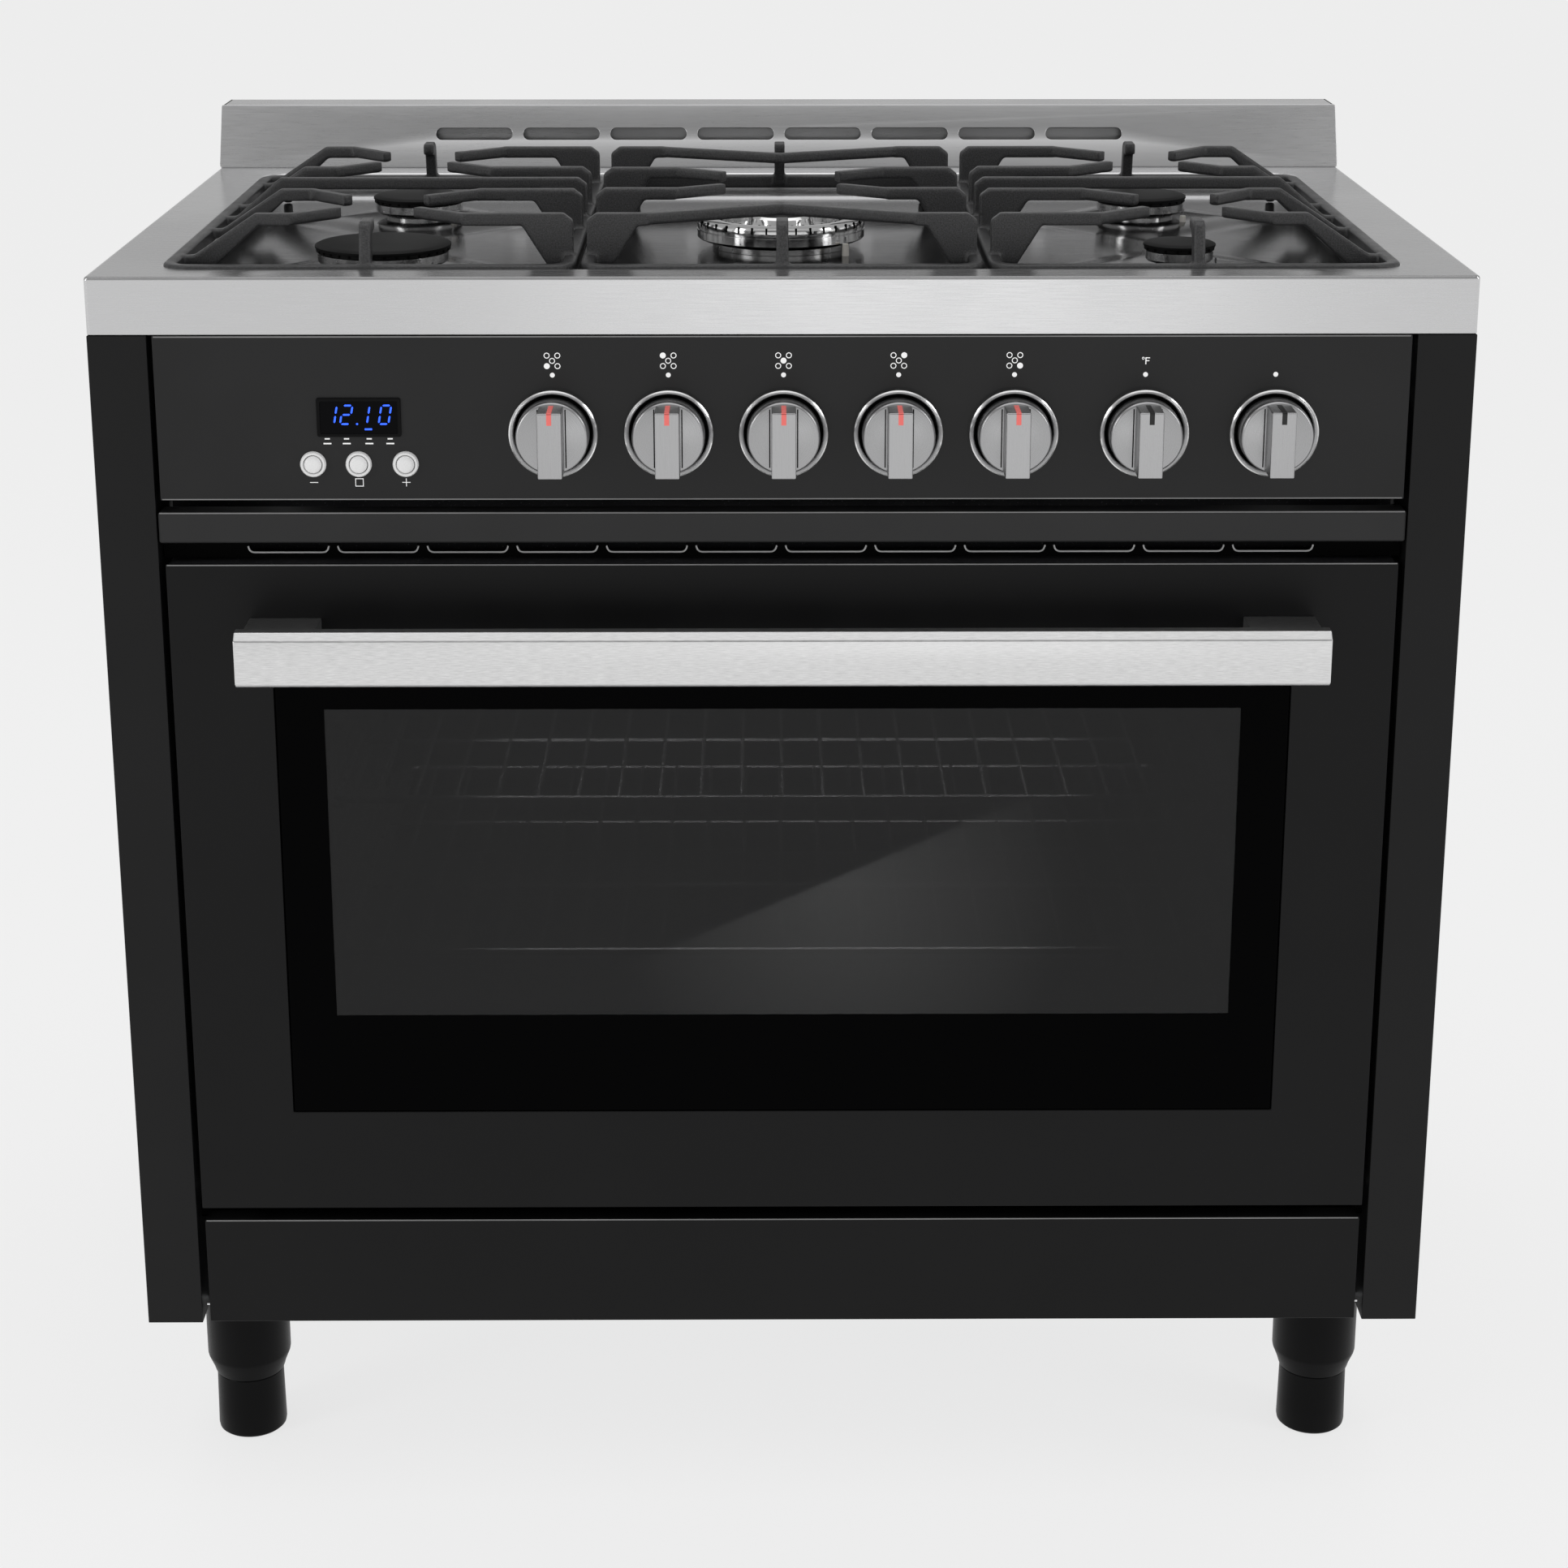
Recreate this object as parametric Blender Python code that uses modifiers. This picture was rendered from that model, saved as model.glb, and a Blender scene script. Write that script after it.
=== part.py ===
"""Freestanding gas range, 36 inch class, as an assembly of separate pieces.

Metres, +Z up. Depths are measured from the front face of the body, where y is 0, towards the
back, and every piece hangs from one empty that puts the origin under the middle of the range.
"""

import math

import bmesh
import bpy
from mathutils import Matrix

# Overall sizes.
WIDTH = 0.910
DEPTH = 0.600
HANDLE_REACH = 0.060
COOKTOP_TOP = 0.900
COOKTOP_BOTTOM = 0.8622
BODY_BOTTOM = 0.144
BODY_TOP = 0.8615
GAP = 0.0003

# Sheet metal.
SHEET = 0.0015
POST_WIDTH = 0.039
POST_DEPTH = 0.048

# Cooktop well and the burners in it.
WELL_HALF_WIDTH = 0.413
WELL_FRONT = 0.030
WELL_BACK = 0.500
PAN_TOP = 0.880
BURNER_X = 0.276
FRONT_BURNER_Y = 0.138
REAR_BURNER_Y = 0.370
CENTRE_BURNER_Y = 0.254
STEM_RADIUS = 0.014

# Grates.
GRATE_FRONT = 0.033
GRATE_BACK = 0.475
GRATE_TOP = 0.930
BAR = 0.008
BAR_UNDERSIDE = GRATE_TOP - 0.0085
RING_LOW = 0.892
RING_HIGH = 0.902

# Control panel.
PANEL_HALF_WIDTH = 0.412
PANEL_LOW = 0.7515
PANEL_HIGH = BODY_TOP
KNOB_Z = 0.797
KNOB_X = (-0.151, -0.075, 0.0005, 0.076, 0.152, 0.238, 0.3235)
KNOB_RADIUS = 0.024
SHAFT_RADIUS = 0.004
BUTTON_X = (-0.310, -0.280, -0.249)
BUTTON_Z = 0.776
BUTTON_RADIUS = 0.0058

# Oven door, its hinge line, and the storage door below it.
DOOR_HALF_WIDTH = 0.4115
DOOR_LOW = 0.2352
DOOR_HIGH = 0.7073
DOOR_BACK = 0.036
DOOR_SKIN_BACK = 0.001
DOOR_HINGE = (0.0, 0.017, 0.2592)
STORAGE_LOW = 0.146
STORAGE_HIGH = 0.226
STORAGE_HINGE = (0.0, 0.006, 0.156)
FRONT = -0.002

# Oven.
OVEN_HALF_WIDTH = 0.330
OVEN_LOW = 0.318
OVEN_HIGH = 0.655
OVEN_FRONT = 0.050
OVEN_BACK = 0.500
OVEN_WALL = 0.002
SHELF_LEVELS = (0.400, 0.458, 0.515, 0.573)
BACK_PANEL_Y = 0.572

# Legs.
LEG_X = 0.404
LEG_Y = (0.110, 0.520)
SLEEVE_RADIUS = 0.031
SLEEVE_LOW = 0.0485
FOOT_RADIUS = 0.0255

BLACK_PAINT = ((0.020, 0.020, 0.021), 0.45, 0.0)
CHARCOAL = ((0.045, 0.045, 0.047), 0.40, 0.2)
STEEL = ((0.62, 0.62, 0.63), 0.28, 1.0)
GALVANISED = ((0.50, 0.51, 0.52), 0.45, 1.0)
ENAMEL = ((0.030, 0.030, 0.033), 0.30, 0.0)
CAST_IRON = ((0.035, 0.035, 0.036), 0.65, 0.0)
BURNER_ALLOY = ((0.66, 0.66, 0.67), 0.35, 1.0)
BURNER_BLACK = ((0.018, 0.018, 0.019), 0.55, 0.0)
SATIN_METAL = ((0.70, 0.70, 0.71), 0.30, 1.0)
WHITE_PLASTIC = ((0.80, 0.80, 0.80), 0.35, 0.0)
BLACK_PLASTIC = ((0.015, 0.015, 0.016), 0.40, 0.0)
DARK_GLASS = ((0.010, 0.010, 0.011), 0.05, 0.0)
RUBBER = ((0.030, 0.030, 0.030), 0.80, 0.0)
BRASS = ((0.65, 0.48, 0.20), 0.35, 1.0)
CHROME_WIRE = ((0.72, 0.72, 0.73), 0.18, 1.0)

SMOOTH_ANGLE = math.radians(35)
FACE_Y = Matrix.Rotation(math.radians(90), 4, "X")
FACE_X = Matrix.Rotation(math.radians(90), 4, "Z") @ FACE_Y


def clear_scene():
    for obj in list(bpy.data.objects):
        bpy.data.objects.remove(obj, do_unlink=True)


def new_collection(name, parent, helper=False):
    collection = bpy.data.collections.new(name)
    collection.hide_render = helper
    parent.children.link(collection)
    return collection


def add_empty(name, at, parent=None):
    empty = bpy.data.objects.new(name, None)
    PARTS.objects.link(empty)
    empty.parent = parent
    empty.location = at
    return empty


def add_body(name, pivot):
    """An empty on a joint's axis, for the pieces that turn or slide there."""
    BODIES[name] = (add_empty(name + "_pivot", pivot, BODIES["root"][0]), pivot)


def place(obj, at, body="root"):
    """Puts an object at a point of the range, under the empty of the body that carries it."""
    empty, pivot = BODIES[body]
    PARTS.objects.link(obj)
    obj.parent = empty
    obj.location = tuple(a - p for a, p in zip(at, pivot))
    return obj


def mesh_object(name, shape, at, body):
    """An object from a bmesh, shaded smooth with its hard edges kept."""
    mesh = bpy.data.meshes.new(name)
    shape.to_mesh(mesh)
    shape.free()
    mesh.shade_smooth()
    mesh.set_sharp_from_angle(angle=SMOOTH_ANGLE)
    return place(bpy.data.objects.new(name, mesh), at, body)


def box(name, low, high, body="root", turn=0.0):
    """A block between two corners, turned about its own vertical axis."""
    size = [b - a for a, b in zip(low, high)]
    middle = [(a + b) / 2 for a, b in zip(low, high)]
    shape = bmesh.new()
    bmesh.ops.create_cube(shape, size=1.0, matrix=Matrix.Diagonal((*size, 1.0)))
    obj = mesh_object(name, shape, middle, body)
    obj.rotation_euler.z = turn
    return obj


def rod(name, at, radius, length, axis, body="root", segments=16):
    """A cylinder centred on a point, along X, Y or Z."""
    turn = {"X": FACE_X, "Y": FACE_Y, "Z": Matrix.Identity(4)}[axis]
    shape = bmesh.new()
    bmesh.ops.create_cone(
        shape,
        cap_ends=True,
        segments=segments,
        radius1=radius,
        radius2=radius,
        depth=length,
        matrix=turn,
    )
    return mesh_object(name, shape, at, body)


def turned(name, profile, at, body="root", segments=32, facing_front=False):
    """A profile of (radius, height) points, turned about its own axis."""
    shape = bmesh.new()
    points = [shape.verts.new((radius, 0.0, height)) for radius, height in profile]
    for first, second in zip(points, points[1:]):
        shape.edges.new((first, second))
    mesh = bpy.data.meshes.new(name)
    shape.to_mesh(mesh)
    shape.free()
    obj = place(bpy.data.objects.new(name, mesh), at, body)
    screw = obj.modifiers.new("Turn", "SCREW")
    screw.steps = segments
    screw.render_steps = segments
    screw.use_merge_vertices = True
    screw.merge_threshold = 0.0001
    screw.use_smooth_shade = True
    if facing_front:
        obj.rotation_euler.x = math.radians(90)
    return obj


def plate(name, loops, start, end, across, body="root"):
    """Flat outlines (the first solid, the others holes), extruded from start to end along X, Y or Z."""
    curve = bpy.data.curves.new(name, "CURVE")
    curve.dimensions = "2D"
    curve.fill_mode = "BOTH"
    curve.extrude = (end - start) / 2
    for loop in loops:
        spline = curve.splines.new("POLY")
        spline.points.add(len(loop) - 1)
        for point, (u, v) in zip(spline.points, loop):
            point.co = (u, v, 0.0, 1.0)
        spline.use_cyclic_u = True
    drawn = bpy.data.objects.new(name, curve)
    PARTS.objects.link(drawn)
    solid = bpy.data.meshes.new_from_object(drawn.evaluated_get(bpy.context.evaluated_depsgraph_get()))
    bpy.data.objects.remove(drawn, do_unlink=True)
    shape = bmesh.new()
    shape.from_mesh(solid)
    bmesh.ops.remove_doubles(shape, verts=shape.verts, dist=0.00001)
    bmesh.ops.recalc_face_normals(shape, faces=shape.faces)
    turn = {"X": FACE_X, "Y": FACE_Y, "Z": Matrix.Identity(4)}[across]
    bmesh.ops.transform(shape, matrix=turn, verts=shape.verts)
    middle = (start + end) / 2
    at = {"X": (middle, 0.0, 0.0), "Y": (0.0, middle, 0.0), "Z": (0.0, 0.0, middle)}[across]
    return mesh_object(name, shape, at, body)


def rectangle(low, high):
    return [low, (high[0], low[1]), high, (low[0], high[1])]


def rounded_rectangle(low, high, radius, steps=4):
    """A rectangle whose corners are arcs, anticlockwise."""
    corners = (
        (high[0] - radius, high[1] - radius, 0),
        (low[0] + radius, high[1] - radius, 90),
        (low[0] + radius, low[1] + radius, 180),
        (high[0] - radius, low[1] + radius, 270),
    )
    points = []
    for u, v, start in corners:
        for step in range(steps + 1):
            angle = math.radians(start + 90 * step / steps)
            points.append((u + radius * math.cos(angle), v + radius * math.sin(angle)))
    return points


def combine(target, pieces, operation):
    """Joins pieces to an object or cuts them from it, keeping them as hidden helpers."""
    group = new_collection(f"{target.name}_{operation.lower()}", HELPERS, helper=True)
    for piece in pieces:
        PARTS.objects.unlink(piece)
        group.objects.link(piece)
        piece.hide_render = True
        piece.display_type = "WIRE"
    boolean = target.modifiers.new(operation.title(), "BOOLEAN")
    boolean.operation = operation
    boolean.operand_type = "COLLECTION"
    boolean.collection = group
    boolean.solver = "EXACT"
    return target


def join(target, *pieces):
    return combine(target, pieces, "UNION")


def cut(target, *pieces):
    return combine(target, pieces, "DIFFERENCE")


def soften(obj, width, segments=1):
    bevel = obj.modifiers.new("Edges", "BEVEL")
    bevel.width = width
    bevel.segments = segments
    bevel.limit_method = "ANGLE"
    return obj


def finish(obj, look):
    """Gives a piece its own Principled material."""
    colour, roughness, metallic = look
    material = bpy.data.materials.new(obj.name)
    material.use_nodes = True
    shader = material.node_tree.nodes["Principled BSDF"]
    shader.inputs["Base Color"].default_value = (*colour, 1.0)
    shader.inputs["Roughness"].default_value = roughness
    shader.inputs["Metallic"].default_value = metallic
    obj.data.materials.clear()
    obj.data.materials.append(material)
    return obj


def make_side_panels():
    """Outer sheets, each with a folded front post and a rear return."""
    half = WIDTH / 2
    post_inside = half - POST_WIDTH
    for side, name in ((-1, "side_panel_left"), (1, "side_panel_right")):
        section = [
            (side * half, 0.0),
            (side * half, DEPTH),
            (side * (half - 0.020), DEPTH),
            (side * (half - 0.020), DEPTH - SHEET),
            (side * (half - SHEET), DEPTH - SHEET),
            (side * (half - SHEET), SHEET),
            (side * (post_inside + SHEET), SHEET),
            (side * (post_inside + SHEET), POST_DEPTH),
            (side * post_inside, POST_DEPTH),
            (side * post_inside, 0.0),
        ]
        finish(plate(name, [section], BODY_BOTTOM, BODY_TOP, "Z"), BLACK_PAINT)


def make_back_and_base():
    inside = WIDTH / 2 - POST_WIDTH - 0.0015
    back = box(
        "back_panel",
        (-inside, BACK_PANEL_Y, BODY_BOTTOM + 0.006),
        (inside, BACK_PANEL_Y + SHEET, BODY_TOP - 0.001),
    )
    slots = [
        box(
            "back_slot",
            (-0.22, BACK_PANEL_Y - 0.01, 0.30 + 0.03 * row),
            (0.22, BACK_PANEL_Y + 0.01, 0.31 + 0.03 * row),
        )
        for row in range(5)
    ]
    inlet_hole = rod("back_inlet_hole", (0.385, BACK_PANEL_Y, 0.797), 0.013, 0.02, "Y")
    finish(cut(back, *slots, inlet_hole), GALVANISED)
    base = box("base_panel", (-inside, 0.030, 0.1465), (inside, BACK_PANEL_Y - GAP, 0.1495))
    finish(base, GALVANISED)


def make_cooktop():
    """The pressed steel top: a rim all round, a sunk pan, and a hole for each burner."""
    half = WIDTH / 2
    top = box("cooktop", (-half, 0.0, COOKTOP_BOTTOM), (half, DEPTH, COOKTOP_TOP))
    well = plate(
        "cooktop_well",
        [rounded_rectangle((-WELL_HALF_WIDTH, WELL_FRONT), (WELL_HALF_WIDTH, WELL_BACK), 0.024)],
        PAN_TOP,
        COOKTOP_TOP + 0.01,
        "Z",
    )
    pocket = box(
        "cooktop_pocket",
        (-half + SHEET, SHEET, COOKTOP_BOTTOM - 0.01),
        (half - SHEET, DEPTH - SHEET, COOKTOP_TOP - SHEET),
    )
    pan_corner = (WELL_HALF_WIDTH + SHEET, WELL_BACK + SHEET)
    pan_outside = rounded_rectangle((-pan_corner[0], WELL_FRONT - SHEET), pan_corner, 0.0255)
    pan = plate("cooktop_pan", [pan_outside], PAN_TOP - SHEET, COOKTOP_TOP + 0.01, "Z")
    cut(pocket, pan)
    holes = [
        rod("cooktop_hole", (x, y, PAN_TOP), STEM_RADIUS + 0.0015, 0.02, "Z")
        for x, y in BURNER_PLACES.values()
    ]
    finish(soften(cut(top, well, pocket, *holes), 0.0012), STEEL)


def make_backguard():
    """A folded cover that leans back, hollow from below, with a row of rounded vents."""
    half = WIDTH / 2
    low, high = COOKTOP_TOP + GAP, 0.9475
    outside = [(0.530, low), (0.5535, high), (0.5975, high), (0.5975, low)]
    inside = [
        (0.5315, low - 0.01),
        (0.5550, high - SHEET),
        (0.5960, high - SHEET),
        (0.5960, low - 0.01),
    ]
    cover = plate("backguard", [outside[::-1]], -half, half, "X")
    hollow = plate("backguard_hollow", [inside[::-1]], -half + SHEET, half - SHEET, "X")
    vents = []
    for index in range(8):
        x = -0.2488 + 0.0711 * index
        loop = rounded_rectangle((x - 0.0315, 0.920), (x + 0.0315, 0.931), 0.0054, steps=3)
        vents.append(plate("backguard_vent", [loop], 0.52, 0.57, "Y"))
    finish(cut(cover, hollow, *vents), STEEL)


def make_control_panel():
    """A channel with holes for the shafts, the display and the buttons."""
    flange = [
        (FRONT, PANEL_LOW),
        (0.030, PANEL_LOW),
        (0.030, PANEL_LOW + SHEET),
        (FRONT + SHEET, PANEL_LOW + SHEET),
        (FRONT + SHEET, PANEL_HIGH - SHEET),
        (0.030, PANEL_HIGH - SHEET),
        (0.030, PANEL_HIGH),
        (FRONT, PANEL_HIGH),
    ]
    panel = plate("control_panel", [flange], -PANEL_HALF_WIDTH, PANEL_HALF_WIDTH, "X")
    holes = [rod("shaft_hole", (x, 0.0, KNOB_Z), 0.006, 0.02, "Y") for x in KNOB_X]
    holes += [
        rod("button_hole", (x, 0.0, BUTTON_Z), BUTTON_RADIUS + 0.0005, 0.02, "Y")
        for x in BUTTON_X
    ]
    holes.append(box("display_hole", (-0.3055, -0.02, 0.7955), (-0.2521, 0.02, 0.8195)))
    finish(cut(panel, *holes), CHARCOAL)
    display = box("display", (-0.305, -0.0028, 0.796), (-0.2526, 0.020, 0.819))
    finish(soften(display, 0.0006), DARK_GLASS)


def make_trim_and_vent():
    trim = box("trim_bar", (-0.4145, FRONT, 0.722), (0.4145, 0.016, 0.743))
    finish(soften(trim, 0.001), CHARCOAL)
    strip = box("vent_grille", (-0.4145, 0.012, 0.7088), (0.4145, 0.0135, 0.7217))
    slots = [
        box(
            "vent_slot",
            (-0.357 + 0.060 * index, 0.0, 0.7135),
            (-0.305 + 0.060 * index, 0.02, 0.7195),
        )
        for index in range(12)
    ]
    finish(cut(strip, *slots), BLACK_PAINT)


def make_knobs():
    """A disc with a raised grip across it, on a shaft that goes through the panel."""
    profile = [
        (0.0, 0.022),
        (KNOB_RADIUS - 0.0015, 0.022),
        (KNOB_RADIUS, 0.0205),
        (KNOB_RADIUS, 0.004),
        (SHAFT_RADIUS, 0.004),
        (SHAFT_RADIUS, -0.030),
        (0.0, -0.030),
    ]
    for index, x in enumerate(KNOB_X):
        body = f"knob_{index + 1}"
        add_body(body, (x, 0.0, KNOB_Z))
        name = KNOB_NAMES[index]
        knob = turned(name, profile, (x, 0.0, KNOB_Z), body, 20, facing_front=True)
        grip = box(
            "grip",
            (x - 0.008, -0.045, KNOB_Z - 0.0218),
            (x + 0.008, -0.0185, KNOB_Z + 0.0218),
            body,
        )
        finish(join(knob, soften(grip, 0.001)), SATIN_METAL)


def make_buttons():
    for index, x in enumerate(BUTTON_X):
        body = f"timer_button_{index + 1}"
        add_body(body, (x, 0.0, BUTTON_Z))
        profile = [
            (0.0, 0.0065),
            (0.0045, 0.0062),
            (BUTTON_RADIUS, 0.005),
            (BUTTON_RADIUS, -0.010),
            (0.0, -0.010),
        ]
        button = turned(body, profile, (x, 0.0, BUTTON_Z), body, 16, facing_front=True)
        finish(button, WHITE_PLASTIC)


def make_gas_parts():
    """The manifold behind the panel, with one valve per knob, and the rear inlets."""
    y, z = 0.078, KNOB_Z
    manifold = rod("gas_manifold", (0.100, y, z), 0.010, 0.590, "X", segments=12)
    valves = [
        box("valve", (x - 0.012, 0.0335, z - 0.015), (x + 0.012, y + 0.003, z + 0.015))
        for x in KNOB_X
    ]
    supply = rod("supply", (0.385, 0.320, z), 0.008, 0.500, "Y", segments=12)
    finish(join(manifold, *valves, supply), BURNER_ALLOY)
    inlet = rod("gas_inlet", (0.385, 0.5855, z), 0.0105, 0.0260, "Y", segments=24)
    nut = rod("inlet_nut", (0.385, 0.5800, z), 0.0120, 0.0100, "Y", segments=6)
    finish(join(inlet, nut), BRASS)
    y = BACK_PANEL_Y + SHEET + GAP
    socket = box("power_inlet", (-0.365, y, 0.215), (-0.315, y + 0.016, 0.240))
    finish(soften(socket, 0.001), BLACK_PLASTIC)


def burner_base_profile(radius):
    return [
        (0.0, 0.0110),
        (radius - 0.004, 0.0110),
        (radius - 0.002, 0.0090),
        (radius + 0.004, 0.0035),
        (radius + 0.004, GAP),
        (STEM_RADIUS, GAP),
        (STEM_RADIUS, -0.018),
        (0.0, -0.018),
    ]


def make_burners():
    """Four round burners with black caps, and a crown burner in the middle."""
    for place_name, (x, y) in BURNER_PLACES.items():
        if place_name == "centre":
            continue
        radius = CAP_RADIUS[place_name]
        base = turned(
            f"burner_base_{place_name}",
            burner_base_profile(radius),
            (x, y, PAN_TOP),
            segments=24,
        )
        finish(base, BURNER_ALLOY)
        cap = [
            (0.0, 0.0200),
            (radius - 0.003, 0.0200),
            (radius, 0.0180),
            (radius, 0.0125),
            (radius - 0.004, 0.0110 + GAP),
            (0.0, 0.0110 + GAP),
        ]
        finish(turned(f"burner_cap_{place_name}", cap, (x, y, PAN_TOP), segments=24), BURNER_BLACK)
    x, y = BURNER_PLACES["centre"]
    base = [
        (0.0, 0.0060),
        (0.046, 0.0060),
        (0.050, 0.0030),
        (0.050, GAP),
        (STEM_RADIUS, GAP),
        (STEM_RADIUS, -0.018),
        (0.0, -0.018),
    ]
    finish(turned("burner_base_centre", base, (x, y, PAN_TOP), segments=24), BURNER_ALLOY)
    crown = [
        (0.0, 0.0240),
        (0.024, 0.0240),
        (0.027, 0.0215),
        (0.029, 0.0130),
        (0.046, 0.0130),
        (0.048, 0.0210),
        (0.059, 0.0210),
        (0.061, 0.0190),
        (0.061, 0.0085),
        (0.056, 0.0060 + GAP),
        (0.0, 0.0060 + GAP),
    ]
    finish(turned("burner_cap_centre", crown, (x, y, PAN_TOP), segments=32), SATIN_METAL)


def bar(start, end, low, high, body):
    """A straight grate bar between two (x, y) points, reaching a little past both."""
    length = math.dist(start, end) + 0.002
    middle = [(a + b) / 2 for a, b in zip(start, end)]
    turn = math.atan2(end[1] - start[1], end[0] - start[0])
    return box(
        "grate_bar",
        (middle[0] - length / 2, middle[1] - BAR / 2 + 0.0002, low),
        (middle[0] + length / 2, middle[1] + BAR / 2 - 0.0002, high),
        body,
        turn,
    )


def grate_ring(name, x_low, x_high, body):
    """The low frame round a grate, with rounded corners."""
    outside = rounded_rectangle((x_low, GRATE_FRONT), (x_high, GRATE_BACK), 0.018)
    inside = rounded_rectangle(
        (x_low + 0.009, GRATE_FRONT + 0.009), (x_high - 0.009, GRATE_BACK - 0.009), 0.010
    )
    return plate(name, [outside, inside], RING_LOW, RING_HIGH, "Z", body)


def grate_feet(x_low, x_high, body):
    return [
        rod("grate_foot", (x, y, (PAN_TOP + GAP + RING_LOW) / 2 + 0.001), 0.004, 0.0137, "Z", body, 8)
        for x in (x_low + 0.020, x_high - 0.020)
        for y in (GRATE_FRONT + 0.0045, GRATE_BACK - 0.0045)
    ]


def finger(side, y, edge, knee, tip, body):
    """An upright finger: from the ring at edge it rises to the top at knee and runs on to tip."""
    inward = 1 if tip > edge else -1
    sloped = abs(knee - edge) > 0.02
    shoulder = [(edge, RING_HIGH - 0.001), (edge + inward * 0.013, RING_HIGH)]
    section = [
        (edge, RING_LOW + 0.003),
        *(shoulder if sloped else [(edge, GRATE_TOP - 0.005)]),
        (knee, GRATE_TOP),
        (tip, GRATE_TOP),
        (tip, BAR_UNDERSIDE),
        (knee + inward * (0.002 if sloped else 0.028), BAR_UNDERSIDE),
        (edge + inward * (0.028 if sloped else 0.018), RING_LOW + 0.003),
    ]
    loop = [(side * x, z) for x, z in section]
    return plate("grate_finger", [loop], y - BAR / 2, y + BAR / 2, "Y", body)


def make_side_grate(side, name, body):
    """Rows of fingers from both edges, whose tips turn towards the burner they serve."""
    x_low, x_high = sorted((side * 0.1375, side * 0.412))
    ring = grate_ring(name, x_low, x_high, body)
    pieces = grate_feet(x_low, x_high, body)
    outer, inner = 0.409, 0.1405
    low, high = BAR_UNDERSIDE + 0.0003, GRATE_TOP - 0.0003
    for burner_y in (FRONT_BURNER_Y, REAR_BURNER_Y):
        for row_y in (burner_y - 0.058, burner_y + 0.058):
            turn = math.copysign(0.030, burner_y - row_y)
            pieces.append(finger(side, row_y, outer, 0.354, 0.330, body))
            pieces.append(bar((side * 0.331, row_y), (side * 0.303, row_y + turn), low, high, body))
            pieces.append(finger(side, row_y, inner, 0.147, 0.215, body))
            pieces.append(bar((side * 0.214, row_y), (side * 0.248, row_y + turn), low, high, body))
    span = [
        (outer, RING_LOW + 0.003),
        (outer, RING_HIGH - 0.001),
        (outer - 0.013, RING_HIGH),
        (0.363, GRATE_TOP),
        (0.147, GRATE_TOP),
        (inner, GRATE_TOP - 0.005),
        (inner, RING_LOW + 0.003),
        (inner + 0.018, RING_LOW + 0.003),
        (0.175, BAR_UNDERSIDE),
        (0.360, BAR_UNDERSIDE),
        (outer - 0.028, RING_LOW + 0.003),
    ]
    loop = [(side * x, z) for x, z in span]
    middle = CENTRE_BURNER_Y
    pieces.append(plate("grate_span", [loop], middle - BAR / 2, middle + BAR / 2, "Y", body))
    pieces += end_fingers(side * BURNER_X, body)
    finish(join(ring, *pieces), CAST_IRON)


def end_fingers(x, body):
    """One short finger from the front of the ring and one from the back."""
    front, back = GRATE_FRONT + 0.0015, GRATE_BACK - 0.0015
    fingers = []
    for edge, inward in ((front, 1), (back, -1)):
        loop = [
            (edge, RING_LOW + 0.003),
            (edge, RING_HIGH),
            (edge + inward * 0.006, GRATE_TOP - 0.003),
            (edge + inward * 0.010, GRATE_TOP - 0.0005),
            (edge + inward * 0.029, GRATE_TOP - 0.0005),
            (edge + inward * 0.029, BAR_UNDERSIDE),
            (edge + inward * 0.017, BAR_UNDERSIDE - 0.002),
            (edge + inward * 0.011, RING_LOW + 0.003),
        ]
        fingers.append(plate("grate_finger", [loop], x - BAR / 2, x + BAR / 2, "X", body))
    return fingers


def make_centre_grate(body):
    """Two bars bent towards the crown burner, with four fingers between them."""
    edge = 0.1345
    ring = grate_ring("grate_centre", -edge, edge, body)
    pieces = grate_feet(-edge, edge, body)
    low, high = BAR_UNDERSIDE + 0.0003, GRATE_TOP - 0.0003
    for row_y, apex_y in ((0.080, 0.124), (0.428, 0.390)):
        for side in (-1, 1):
            pieces.append(finger(side, row_y, edge - 0.003, edge - 0.0095, 0.090, body))
            pieces.append(bar((side * 0.091, row_y), (side * 0.001, apex_y), low, high, body))
    for row_y, turn in ((0.200, 0.022), (0.308, -0.022)):
        for side in (-1, 1):
            pieces.append(finger(side, row_y, edge - 0.003, edge - 0.0095, 0.075, body))
            pieces.append(bar((side * 0.076, row_y), (side * 0.042, row_y + turn), low, high, body))
    pieces += end_fingers(0.0, body)
    finish(join(ring, *pieces), CAST_IRON)


def make_grates():
    for name in ("grate_left", "grate_centre", "grate_right"):
        add_body(name, (0.0, CENTRE_BURNER_Y, RING_LOW))
    make_side_grate(-1, "grate_left", "grate_left")
    make_centre_grate("grate_centre")
    make_side_grate(1, "grate_right", "grate_right")


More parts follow.
